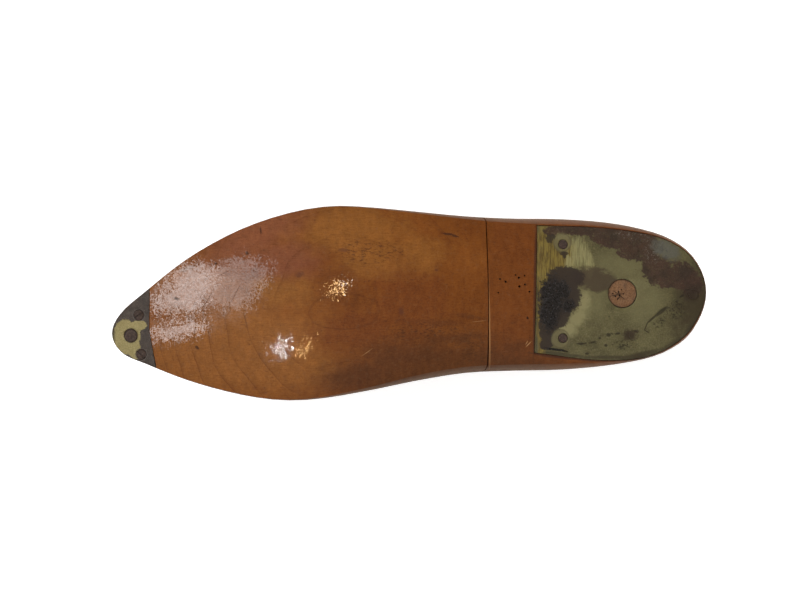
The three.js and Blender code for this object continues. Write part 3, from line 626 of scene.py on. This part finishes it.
def steel(name, tint, roughness, rust):
    """Bare steel that has tarnished, with rust in a share of its surface."""
    made, tree, shader, place = new_material(name)
    patches = noise(tree, place, 3.5, 5, 0.65)
    bitten = ramp(tree, patches, (0.62 - rust * 0.4, 0.0), (0.74 - rust * 0.3, 1.0))
    turning = noise(tree, place, 0.35, 3, 0.6, (1, 1, 6))
    tone = mix(tree, turning, tint, tuple(c * 0.7 for c in tint))
    tone = mix(tree, bitten, tone, (0.075, 0.032, 0.015))
    tree.links.new(tone, shader.inputs["Base Color"])
    tree.links.new(maths(tree, "MULTIPLY_ADD", bitten, 0.35, roughness), shader.inputs["Roughness"])
    tree.links.new(maths(tree, "MULTIPLY_ADD", bitten, -0.8, 1.0), shader.inputs["Metallic"])
    grit = maths(tree, "MULTIPLY_ADD", bitten, 0.6, maths(tree, "MULTIPLY", turning, 0.15))
    bump = put(tree, "Bump", {"Strength": 0.4, "Distance": 0.0001, "Height": grit})
    tree.links.new(bump.outputs[0], shader.inputs["Normal"])
    return made


def pick(piece, wanted, kind="FACE"):
    """Selects the faces (or edges) of a piece in edit mode whose middle passes a test."""
    bpy.ops.mesh.select_mode(type=kind)
    bpy.ops.mesh.select_all(action="DESELECT")
    shape = bmesh.from_edit_mesh(piece.data)
    for part in shape.faces if kind == "FACE" else shape.edges:
        middle = sum((v.co for v in part.verts), Vector()) / len(part.verts)
        part.select_set(wanted(piece.matrix_world @ middle))
    shape.select_flush_mode()
    bmesh.update_edit_mesh(piece.data)


def settle(piece, name, bevel=0.0, segments=2, degrees=40):
    """Rounds the edges, shades, and leaves the piece at the origin under its own name."""
    piece.name = name
    piece.data.name = name
    bpy.ops.object.select_all(action="DESELECT")
    piece.select_set(True)
    bpy.context.view_layer.objects.active = piece
    bpy.ops.object.transform_apply(location=True, rotation=True, scale=True)
    if bevel:
        rounding = piece.modifiers.new("rounding", "BEVEL")
        rounding.width = bevel * MM
        rounding.segments = segments
        rounding.limit_method = "ANGLE"
        rounding.angle_limit = math.radians(degrees)
        bpy.ops.object.modifier_apply(modifier="rounding")
    bpy.ops.object.shade_smooth_by_angle(angle=math.radians(35))


dull_steel = steel("dull_steel", (0.42, 0.40, 0.37), 0.32, 0.1)
SOCKET_BORE, SOCKET_OUTSIDE, SOCKET_FLANGE_THICK = 6.7, 7.9, 1.4
low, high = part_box("jack_socket")
socket_middle = (low + high) / 2
flange_out = (high.x - low.x) / 2 / MM
bpy.ops.object.select_all(action="DESELECT")
bpy.ops.mesh.primitive_circle_add(
    vertices=64, radius=SOCKET_BORE * MM, location=(socket_middle.x, socket_middle.y, low.z)
)
socket = bpy.context.object
bpy.ops.object.mode_set(mode="EDIT")
bpy.ops.mesh.select_all(action="SELECT")
radius_now, z_now = SOCKET_BORE, low.z
for radius, z in (
    (flange_out, low.z), (flange_out, low.z + SOCKET_FLANGE_THICK * MM),
    (SOCKET_OUTSIDE, low.z + SOCKET_FLANGE_THICK * MM), (SOCKET_OUTSIDE, high.z),
    (SOCKET_BORE, high.z), (SOCKET_BORE, low.z),
):
    bpy.ops.mesh.extrude_edges_move(TRANSFORM_OT_translate={"value": (0, 0, z - z_now)})
    grow = radius / radius_now
    bpy.ops.transform.resize(
        value=(grow, grow, 1), center_override=(socket_middle.x, socket_middle.y, z)
    )
    radius_now, z_now = radius, z
bpy.ops.mesh.select_all(action="SELECT")
bpy.ops.mesh.remove_doubles(threshold=1e-6)
bpy.ops.mesh.normals_make_consistent(inside=False)
bpy.ops.object.mode_set(mode="OBJECT")
settle(socket, "socket_tube", bevel=0.25)
socket.data.materials.append(dull_steel)
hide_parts("jack_socket")
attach(socket, "heel")

# ---- Hinge -------------------------------------------------------------------------------------
# A flat steel link in a slot across the saw cut turns on two steel pins that are driven through
# the wood. A coil spring under it, in a pocket in each half, pushes the notch open.

oiled_steel = steel("oiled_steel", (0.30, 0.29, 0.27), 0.28, 0.2)
link = from_cad("hinge_link", "link_plate")
settle(link, "link_plate", bevel=0.3)
link.data.materials.append(oiled_steel)
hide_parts("hinge_link")
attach(link, "link")

PIN_RADIUS = 3.0
hinge_turn = Matrix((hinge_x, hinge_y, hinge_z)).transposed()
for node, name, body in (
    ("hinge_pin_front", "front_pin", "fore"),
    ("hinge_pin_rear", "rear_pin", "heel"),
):
    low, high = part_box(node)
    slant = abs(hinge_y.x) * 2 * PIN_RADIUS * MM
    bpy.ops.object.select_all(action="DESELECT")
    bpy.ops.mesh.primitive_cylinder_add(
        vertices=48, radius=PIN_RADIUS * MM, depth=(high.y - low.y - slant) / hinge_y.y,
        location=(low + high) / 2,
        rotation=(hinge_turn @ Matrix.Rotation(math.radians(90), 3, "X")).to_euler(),
    )
    pin = bpy.context.object
    settle(pin, name, bevel=0.5, segments=3)
    pin.data.materials.append(oiled_steel)
    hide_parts(node)
    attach(pin, body)

# It stands a little high in its pocket, so that the mouths clear it when they tip in a fold.
SPRING_RADIUS, SPRING_WIRE, SPRING_LENGTH, SPRING_TURNS = 4.1, 0.85, 26.0, 6
SPRING_DROP, SPRING_SQUEEZED = 21.1, 0.63
spring_middle = hinge_middle - hinge_z * SPRING_DROP * MM
bpy.ops.object.select_all(action="DESELECT")
bpy.ops.mesh.primitive_circle_add(
    vertices=12, radius=SPRING_WIRE * MM, location=(SPRING_RADIUS * MM, 0, 0), fill_type="NGON",
    rotation=(math.radians(90), 0, 0),
)
spring = bpy.context.object
bpy.ops.object.transform_apply(location=True, rotation=True, scale=True)
bpy.ops.object.mode_set(mode="EDIT")
bpy.ops.mesh.select_all(action="SELECT")
bpy.ops.mesh.delete(type="ONLY_FACE")
bpy.ops.object.mode_set(mode="OBJECT")
coil = spring.modifiers.new("coil", "SCREW")
coil.axis = "Z"
coil.angle = SPRING_TURNS * 2 * math.pi
coil.screw_offset = (SPRING_LENGTH - 2 * SPRING_WIRE) * MM
coil.steps = coil.render_steps = SPRING_TURNS * 30
bpy.ops.object.modifier_apply(modifier="coil")
bpy.ops.object.mode_set(mode="EDIT")
bpy.ops.mesh.select_all(action="SELECT")
bpy.ops.mesh.remove_doubles(threshold=1e-7)
bpy.ops.mesh.select_all(action="DESELECT")
bpy.ops.mesh.select_mode(type="EDGE")
bpy.ops.mesh.select_non_manifold()
bpy.ops.mesh.edge_face_add()
bpy.ops.mesh.select_all(action="SELECT")
bpy.ops.mesh.normals_make_consistent(inside=False)
bpy.ops.object.mode_set(mode="OBJECT")
along_x = Matrix.Rotation(math.radians(90), 4, "Y") @ Matrix.Translation(
    (0, 0, -(SPRING_LENGTH / 2 - SPRING_WIRE) * MM)
)
spring.matrix_world = Matrix.Translation(spring_middle) @ hinge_turn.to_4x4() @ along_x
settle(spring, "spring_coil")
spring.data.materials.append(oiled_steel)
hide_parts("hinge_spring")
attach(spring, "link")
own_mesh(spring)

# ---- Heel plate --------------------------------------------------------------------------------
# A pressed steel plate let into the heel seat, level with the wood. Its lacquer has yellowed to a
# drab olive, with rust along the outer edge, a blot of pitch at the front and brass-coloured wear.

OLIVE, OLIVE_DARK, PALE = (0.139, 0.123, 0.056), (0.095, 0.083, 0.039), (0.275, 0.250, 0.112)
RUST, RUST_LIGHT, GOLD = (0.052, 0.027, 0.018), (0.150, 0.102, 0.070), (0.210, 0.150, 0.034)
PITCH, SCALE_GREY = (0.013, 0.011, 0.010), (0.100, 0.098, 0.078)
heel_steel, tree, shader, place = new_material("heel_plate_lacquer")
streaks = noise(tree, place, 0.45, 4, 0.6, (1, 18, 1))
mottle = noise(tree, place, 7, 6, 0.65)
grit = noise(tree, place, 0.7, 5, 0.72)
tone = mix(tree, ramp(tree, mottle, (0.36, 0.0), (0.64, 1.0)), OLIVE_DARK, OLIVE)
tone = mix(tree, ramp(tree, grit, (0.4, 0.0), (0.64, 0.6)), tone, (0.52, 0.5, 0.44), "MULTIPLY")
tone = mix(tree, ramp(tree, grit, (0.3, 0.35), (0.44, 0.0)), tone, (0.25, 0.23, 0.12))
clean = stain(tree, place, [(98, 18, 11, 6, -8), (86, 2, 6, 10, 0), (110, 2, 10, 12, 0)], 0.6, 1.6, 4)
tone = lay(tree, tone, clean, 0.5, (0.165, 0.150, 0.070))
dull_back = stain(
    tree, place,
    [(142, -7, 17, 26, 0), (134, 4, 8, 11, 0), (131, -21, 13, 4.5, 28), (112, -27, 16, 3, 8)],
    0.6, 1.5, 4,
)
tone = lay(tree, tone, dull_back, 0.92, (0.043, 0.032, 0.017))
# Painted shadow: a dark line along the heel plate's edges, in the gap round it.
rim_gap_shadow = stain(
    tree, place,
    [
        (70, -24.3, 13, 0.9, -7), (93, -25.9, 13, 0.8, 0), (110, -24.3, 9, 1.0, 14),
        (124, -20, 9, 1.4, 32), (134, -11, 8, 1.6, 55), (59.3, 4, 0.7, 32, -1.0),
    ],
    0.5, 1.0, 1.5,
)
tone = lay(tree, tone, rim_gap_shadow, 0.7, (0.045, 0.036, 0.020))
golden = stain(
    tree, place, [(63.4, 21, 5, 17, 0), (69, 23, 8, 10, 0), (61.6, -2, 2.6, 22, -1)],
    0.3, 1.5, 2, (1, 2.5, 1),
)
tone = mix(
    tree, maths(tree, "MULTIPLY", golden, ramp(tree, streaks, (0.36, 0.6), (0.6, 1.0))), tone, GOLD,
)
wiped = maths(
    tree, "MULTIPLY", golden,
    ramp(tree, noise(tree, place, 0.6, 4, 0.6, (1, 14, 1)), (0.46, 0.0), (0.56, 1.0)),
)
tone = lay(tree, tone, wiped, 0.75, (0.066, 0.042, 0.016))
pale = stain(
    tree, place,
    [(79, 24, 4.4, 6.5, 0), (83.6, 19.5, 2.4, 7, 8), (71, 32, 4, 2.0, 0), (75, 19, 2.6, 4, 0)],
    0.4, 2.4, 1.3, (0.8, 4, 1),
)
tone = mix(
    tree, maths(tree, "MULTIPLY", pale, ramp(tree, streaks, (0.38, 0.35), (0.6, 0.95))), tone, PALE
)
halo = stain(
    tree, place, [(81, 0, 3.2, 6, -14), (78.5, -7, 3.6, 6, -38), (73.5, -11.8, 5, 3.6, -20)],
    0.55, 1.7, 2.2,
)
tone = lay(tree, tone, halo, 0.85, (0.24, 0.215, 0.102))
rust = stain(
    tree, place,
    [
        (80, 35, 16, 2.6, 0), (97, 31.5, 13, 5.5, -4), (108, 28, 12, 7.5, -14), (104, 24, 7, 3.2, -6),
        (117, 16, 9, 7, -50), (130, 12, 10, 6.5, -40), (123, 12, 8, 5, 0), (66, 34, 4, 2.2, 0),
    ],
    0.1, 1.7, 2.4,
)
rust_fleck = ramp(tree, noise(tree, place, 1.0, 6, 0.85), (0.52, 0.0), (0.58, 1.0))
rust_tone = mix(tree, maths(tree, "MULTIPLY", rust_fleck, 0.6), RUST, RUST_LIGHT)
rust_tone = mix(tree, ramp(tree, mottle, (0.4, 0.0), (0.62, 0.7)), rust_tone, (0.026, 0.017, 0.013))
worn_through = ramp(tree, noise(tree, place, 1.3, 6, 0.8), (0.33, 0.8), (0.43, 0.0))
rust = maths(tree, "SUBTRACT", rust, maths(tree, "MULTIPLY", rust, worn_through))
tone = lay(tree, tone, rust, 0.93, rust_tone)
flaked = stain(
    tree, place, [(106, 32, 9, 2, -10), (114, 23, 3, 4, 20), (122, 27, 5, 3, -30)], 0.3, 3.0, 0.8
)
flake = ramp(tree, noise(tree, place, 1.0, 5, 0.8), (0.55, 0.0), (0.6, 1.0))
tone = mix(
    tree, maths(tree, "MULTIPLY", maths(tree, "MULTIPLY", flaked, flake), 0.75), tone,
    (0.24, 0.20, 0.16),
)
scale = stain(tree, place, [(121, 25.6, 6.8, 4.2, -28)], 0.35, 1.8, 2.4)
tone = lay(tree, tone, scale, 0.8, SCALE_GREY)
smoke = stain(
    tree, place, [(86, 12, 9, 5.2, -6), (93, 10, 6, 3.8, -20), (88, 7, 4, 2, 0)],
    0.3, 1.7, 2.2, (1.6, 1, 1),
)
tone = lay(tree, tone, smoke, 0.92, (0.054, 0.038, 0.022))
burnt = stain(
    tree, place,
    [
        (73, 12.2, 9, 5.4, -4), (70, 3, 10.2, 9.5, 0), (67.4, -4.5, 7.8, 8.5, -12),
        (63.8, -12, 3.8, 9, 4), (63.6, -19.6, 3.2, 2.8, 0),
    ],
    0.1, 1.0, 1.6,
)
tone = lay(tree, tone, burnt, 0.96, (0.030, 0.021, 0.016))
tar = stain(
    tree, place,
    [(66.4, 3, 6.2, 9.2, 0), (64.8, -5, 4.6, 8, 0), (71, 6, 3.6, 4.6, 20), (74, -1, 3, 3, 0)],
    0.3, 2.2, 1.8,
)
tail = stain(tree, place, [(67.8, -22.1, 5.6, 0.55, -6), (71.6, -22.7, 3, 0.4, -14)], 0.4, 1.3, 0.9)
tar = maths(tree, "MAXIMUM", tar, tail)
tone = lay(tree, tone, tar, 0.95, PITCH)
flecks = maths(
    tree, "MULTIPLY", tar, ramp(tree, noise(tree, place, 0.75, 4, 0.75), (0.57, 0.0), (0.64, 1.0))
)
tone = lay(tree, tone, flecks, 0.5, (0.12, 0.122, 0.125))

# A turned ring is left round each front nail, and the others show as a rusty spot.
for x, y in ((71.2, 28.9), (70.4, -17.0)):
    ring = stain(tree, place, [(x, y, 4.4, 4.6, 0)], 0.09, 0.22, 1.2)
    tone = lay(tree, tone, ring, 0.8, (0.150, 0.128, 0.062))
    groove = maths(tree, "MULTIPLY", ring, stain(tree, place, [(x, y, 3.9, 4.1, 0)], 0.08, 0.22, 1.2))
    groove = maths(tree, "SUBTRACT", ring, groove)
    tone = lay(tree, tone, groove, 0.45, (0.045, 0.038, 0.02))
nail_rust = stain(
    tree, place, [(103.6, -15.4, 3.2, 2.7, 0), (106.6, -13.6, 1.4, 0.9, 0), (133, 4.8, 4, 3.6, 0)],
    0.5, 1.6, 1.2,
)
tone = lay(tree, tone, nail_rust, 0.88, (0.036, 0.024, 0.016))
blots = stain(
    tree, place,
    [
        (64.9, 30.4, 1.5, 2.1, 20), (66.6, 31.6, 1.4, 1.3, 0), (72.1, 23.6, 2.2, 1.0, 0),
        (72.3, 22.4, 0.9, 1.2, 0),
    ],
    0.2, 1.5, 0.9,
)
tone = lay(tree, tone, blots, 0.9, (0.036, 0.027, 0.019))

rows = stain(
    tree, place,
    [
        (83, -19.4, 5, 0.9, 3), (94, -15, 3, 0.8, 8), (101, -20, 6, 2.6, 0), (126, -3, 5, 5, 35),
        (118, -9, 4, 2, 40),
    ],
    0.4, 1.5, 2,
)
pits = maths(
    tree, "MULTIPLY", ramp(tree, noise(tree, place, 1.0, 4, 0.65), (0.53, 0.0), (0.58, 1.0)), rows
)
dents = stain(
    tree, place,
    [
        (80.4, -19.4, 2.2, 0.4, 0), (86, -18.7, 1.4, 0.32, 12), (93.6, -15.2, 1.0, 0.8, 0),
        (98, -14.6, 1.2, 0.5, 10), (92.4, -20.2, 0.7, 0.6, 0), (89.4, -16.8, 0.6, 0.5, 0),
        (83.4, -24.2, 0.9, 0.5, 0), (128.6, 3.4, 1.1, 0.4, 30), (126.2, 0.8, 0.6, 0.5, 0),
    ],
    0.4, 1.8, 0.7,
)
pits = maths(tree, "MAXIMUM", pits, dents)
scratch = stain(
    tree, place,
    [
        (118.8, -4.0, 3.8, 0.85, 38), (114.8, -7.2, 3.6, 0.42, 42), (111.6, -11, 2.4, 0.22, 68),
        (112, -13.6, 1.3, 0.24, -32),
    ],
    0.3, 0.9, 0.7,
)
spots_dark = specks(tree, place, 5.5, 0.09, 0.5)
pits = maths(tree, "MAXIMUM", maths(tree, "MAXIMUM", pits, scratch), spots_dark)
tone = lay(tree, tone, pits, 0.8, (0.024, 0.019, 0.012))
tree.links.new(tone, shader.inputs["Base Color"])
covered = maths(tree, "MAXIMUM", maths(tree, "MAXIMUM", rust, burnt), smoke)
tree.links.new(maths(tree, "MULTIPLY_ADD", covered, -0.2, 0.22), shader.inputs["Metallic"])
gloss = maths(tree, "MULTIPLY_ADD", covered, 0.2, maths(tree, "MULTIPLY_ADD", grit, 0.22, 0.34))
tree.links.new(maths(tree, "MULTIPLY_ADD", tar, -0.36, gloss), shader.inputs["Roughness"])
shader.inputs["Specular IOR Level"].default_value = 0.35
relief = maths(
    tree, "MULTIPLY_ADD", rust, maths(tree, "MULTIPLY", rust_fleck, 0.7),
    maths(tree, "MULTIPLY", grit, 0.35),
)
relief = maths(tree, "MULTIPLY_ADD", streaks, 0.12, relief)
relief = maths(
    tree, "MULTIPLY_ADD", tar, maths(tree, "ADD", 0.5, noise(tree, place, 1.0, 4, 0.7)), relief
)
relief = maths(tree, "SUBTRACT", relief, maths(tree, "MULTIPLY", pits, 0.9))
bump = put(tree, "Bump", {"Strength": 0.9, "Distance": 0.0002, "Height": relief})
tree.links.new(bump.outputs[0], shader.inputs["Normal"])

heel_steel_plate = from_cad("heel_plate", "heel_steel_plate")
settle(heel_steel_plate, "heel_steel_plate", bevel=0.35, segments=3, degrees=50)
heel_steel_plate.data.materials.append(heel_steel)
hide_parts("heel_plate")
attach(heel_steel_plate, "heel")

# ---- Nails, rivet and screws -------------------------------------------------------------------
# Countersunk iron nails hold the heel plate, and a flat-headed rivet and two slotted screws the
# toe plate. All their heads are level with the plate and have rusted dark.

head_iron, tree, shader, place = new_material("rusted_iron")
crust = noise(tree, place, 0.8, 6, 0.72)
tone = ramp(
    tree, crust, (0.36, (0.028, 0.018, 0.014)), (0.52, (0.047, 0.029, 0.022)),
    (0.66, (0.085, 0.056, 0.041)),
)
tree.links.new(tone, shader.inputs["Base Color"])
tree.links.new(maths(tree, "MULTIPLY_ADD", crust, 0.4, 0.4), shader.inputs["Roughness"])
tree.links.new(ramp(tree, crust, (0.35, 0.3), (0.5, 0.05)), shader.inputs["Metallic"])
bump = put(tree, "Bump", {"Strength": 0.6, "Distance": 0.00015, "Height": crust})
tree.links.new(bump.outputs[0], shader.inputs["Normal"])


def stud(node, name, head, shank, sink, body, finish, tip=0.35):
    """A headed fastener in place of a CAD one: radii and the head's depth in millimetres."""
    brim, dish = 0.3, 0.06
    low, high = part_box(node)
    middle = (low + high) / 2
    bpy.ops.object.select_all(action="DESELECT")
    bpy.ops.mesh.primitive_cylinder_add(
        vertices=40, radius=head * MM, depth=brim * MM,
        location=(middle.x, middle.y, high.z - brim / 2 * MM),
    )
    made = bpy.context.object
    bpy.ops.object.mode_set(mode="EDIT")
    pick(made, lambda p: p.z < high.z - (brim - 0.01) * MM)
    now = head
    for radius, z in (
        (shank, high.z - max(sink, 0.6) * MM), (shank, low.z + 4 * MM), (shank * tip, low.z)
    ):
        bpy.ops.mesh.extrude_region_move()
        at = (middle.x, middle.y, z)
        lowest = min(v.co.z for v in bmesh.from_edit_mesh(made.data).verts) + made.location.z
        bpy.ops.transform.translate(value=(0, 0, z - lowest))
        bpy.ops.transform.resize(value=(radius / now, radius / now, 1), center_override=at)
        now = radius
    pick(made, lambda p: p.z > high.z - 0.01 * MM)
    bpy.ops.mesh.inset(thickness=head * 0.25 * MM)
    bpy.ops.transform.translate(value=(0, 0, -dish * MM))
    bpy.ops.object.mode_set(mode="OBJECT")
    settle(made, name, bevel=0.08, degrees=30)
    made.data.materials.append(finish)
    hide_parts(node)
    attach(made, body)


NAIL_HEAD, COVERED_HEAD, NAIL_SHANK, NAIL_SINK = 2.1, 2.3, 1.3, 1.5
for where in ("front_outer", "front_inner"):
    stud("heel_nail_" + where, "nail_" + where, NAIL_HEAD, NAIL_SHANK, NAIL_SINK, "heel", head_iron)
for where in ("middle_outer", "middle_inner", "back"):
    stud("heel_nail_" + where, "nail_" + where, COVERED_HEAD, NAIL_SHANK, NAIL_SINK, "heel", heel_steel)
RIVET_RADIUS = 3.0
stud("toe_rivet", "tip_rivet", RIVET_RADIUS, RIVET_RADIUS, 0.6, "fore", head_iron, 1.0)
for where in ("outer", "inner"):
    screw = from_cad("toe_screw_" + where, "screw_" + where)
    settle(screw, "screw_" + where, bevel=0.08, degrees=35)
    screw.data.materials.append(head_iron)
    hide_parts("toe_screw_" + where)
    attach(screw, "fore")

# ---- Heel plug ---------------------------------------------------------------------------------
# A soft wooden plug in a hole through the heel plate, end grain up, so that a tack can be driven
# there. It is bare and dirty, with the holes of old tacks.

end_grain, tree, shader, place = new_material("plug_end_grain")
low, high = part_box("heel_plug")
plug_middle = (low + high) / 2
from_heart = (-plug_middle.x / MM - 14, -plug_middle.y / MM + 9, 0)
heart = put(tree, "Mapping", {0: place, 1: from_heart, 3: (1, 1, 1)}).outputs[0]
growth = put(
    tree, "TexWave",
    {"Vector": heart, "Scale": 0.26, "Distortion": 1.2, "Detail": 2.0, "Detail Scale": 1.0},
    wave_type="RINGS", rings_direction="Z",
).outputs["Fac"]
speckle = noise(tree, place, 0.7, 4, 0.7, (1, 1, 8))
soot = noise(tree, place, 3.5, 3, 0.6)
mottle = noise(tree, place, 2.2, 6, 0.7)
tone = mix(tree, maths(tree, "MULTIPLY", growth, 0.4), (0.178, 0.088, 0.040), (0.135, 0.066, 0.030))
tone = mix(tree, ramp(tree, mottle, (0.4, 0.0), (0.6, 0.9)), tone, (0.228, 0.122, 0.062))
tone = mix(tree, ramp(tree, speckle, (0.42, 0.0), (0.6, 0.75)), tone, (0.085, 0.044, 0.022))
tone = mix(tree, ramp(tree, soot, (0.5, 0.0), (0.75, 0.5)), tone, (0.07, 0.045, 0.03))
rim = stain(tree, place, [(plug_middle.x / MM, plug_middle.y / MM, 6.3, 6.3, 0)], 0.1, 0.5, 1.5)
tone = mix(tree, maths(tree, "MULTIPLY_ADD", rim, -0.7, 0.7), tone, (0.05, 0.030, 0.018))
crack = stain(
    tree, place,
    [
        (97.4, 3.9, 3.0, 0.3, 12), (98.6, 4.2, 0.3, 2.2, 14), (99.6, 3.1, 1.9, 0.26, -38),
        (97.2, 5.0, 1.6, 0.24, -30), (98.4, 2.6, 1.2, 0.24, 60),
    ],
    0.6, 1.0, 0.5,
)
tone = lay(tree, tone, crack, 0.85, (0.022, 0.013, 0.008))
tree.links.new(tone, shader.inputs["Base Color"])
tree.links.new(maths(tree, "MULTIPLY_ADD", speckle, 0.2, 0.6), shader.inputs["Roughness"])
shader.inputs["Specular IOR Level"].default_value = 0.3
pith = maths(tree, "SUBTRACT", maths(tree, "MULTIPLY_ADD", speckle, 0.5, growth), crack)
bump = put(tree, "Bump", {"Strength": 0.5, "Distance": 0.00015, "Height": pith})
tree.links.new(bump.outputs[0], shader.inputs["Normal"])

bpy.ops.object.select_all(action="DESELECT")
bpy.ops.mesh.primitive_cylinder_add(
    vertices=72, radius=(high.x - low.x) / 2, depth=high.z - low.z, location=plug_middle
)
plug = bpy.context.object
settle(plug, "tack_plug", bevel=0.3, segments=3)
PLUG_HOLE_DEPTH = 5
PLUG_HOLES = (
    (95.6, 4.6, 0.42), (96.9, 3.2, 0.4), (98.2, 5.3, 0.42), (98.9, 3.6, 0.5), (100.6, 4.4, 0.4),
    (98.0, 1.9, 0.42), (99.6, 6.2, 0.36),
)
plug.data.materials.append(end_grain)
drill(plug, PLUG_HOLES, high.z / MM + 2, PLUG_HOLE_DEPTH + 2)
weigh_normals(plug)
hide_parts("heel_plug")
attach(plug, "heel")

# ---- Toe plate ---------------------------------------------------------------------------------
# A thin steel plate wrapped over the tip of the sole, almost black with old lacquer and rubbed
# through to yellow metal round the rivet.

toe_steel, tree, shader, place = new_material("toe_plate_lacquer")
mottle = noise(tree, place, 3.5, 6, 0.68)
fine = noise(tree, place, 0.6, 5, 0.72)
tone = ramp(
    tree, mottle, (0.35, (0.034, 0.027, 0.022)), (0.55, (0.056, 0.043, 0.035)),
    (0.7, (0.084, 0.066, 0.053)),
)
tone = mix(tree, ramp(tree, fine, (0.55, 0.0), (0.66, 0.6)), tone, (0.15, 0.128, 0.11))
rubbed = stain(
    tree, place,
    [
        (-136, -15, 5.2, 7.6, -12), (-132.5, -15.6, 4.6, 6.4, -15), (-129.2, -10.6, 4.4, 2.4, 6),
        (-131.4, -20.6, 3.4, 5.2, 14), (-130.4, -24, 2.2, 2.6, 0), (-134.6, -20.6, 3.4, 3.6, 0),
    ],
    0.06, 0.55, 1.4,
)
brass = ramp(tree, fine, (0.36, (0.205, 0.168, 0.066)), (0.6, (0.325, 0.275, 0.125)))
brass = mix(tree, ramp(tree, mottle, (0.45, 0.0), (0.7, 0.55)), brass, (0.20, 0.158, 0.066))
tone = mix(tree, rubbed, tone, brass)
ring = stain(tree, place, [(-132.5, -15.3, 3.7, 3.7, 0)], 0.12, 0.5, 1.2)
tone = lay(tree, tone, ring, 0.6, (0.085, 0.062, 0.036))
for x, y in ((-128.7, -5.7), (-127.6, -24.1)):
    seat = stain(tree, place, [(x, y, 3.0, 3.0, 0)], 0.08, 0.4, 1.2)
    seat = maths(
        tree, "SUBTRACT", seat,
        maths(tree, "MULTIPLY", seat, stain(tree, place, [(x, y, 2.65, 2.65, 0)], 0.08, 0.3, 1.2)),
    )
    tone = lay(tree, tone, seat, 0.6, (0.13, 0.11, 0.095))
tip_dirt = stain(tree, place, [(-141.3, -13, 1.0, 9, 4)], 0.5, 1.4, 1.5)
tone = lay(tree, tone, tip_dirt, 0.7, (0.04, 0.03, 0.02))
tree.links.new(tone, shader.inputs["Base Color"])
tree.links.new(maths(tree, "MULTIPLY_ADD", rubbed, 0.12, 0.16), shader.inputs["Metallic"])
tree.links.new(maths(tree, "MULTIPLY_ADD", fine, 0.3, 0.34), shader.inputs["Roughness"])
shader.inputs["Specular IOR Level"].default_value = 0.35
wear = maths(tree, "MULTIPLY_ADD", rubbed, -0.5, fine)
bump = put(tree, "Bump", {"Strength": 0.6, "Distance": 0.00015, "Height": wear})
tree.links.new(bump.outputs[0], shader.inputs["Normal"])

toe_steel_plate = from_cad("toe_plate", "toe_steel_plate")
settle(toe_steel_plate, "toe_steel_plate", bevel=0.3, segments=3, degrees=50)
toe_steel_plate.data.materials.append(toe_steel)
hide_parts("toe_plate")
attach(toe_steel_plate, "fore")
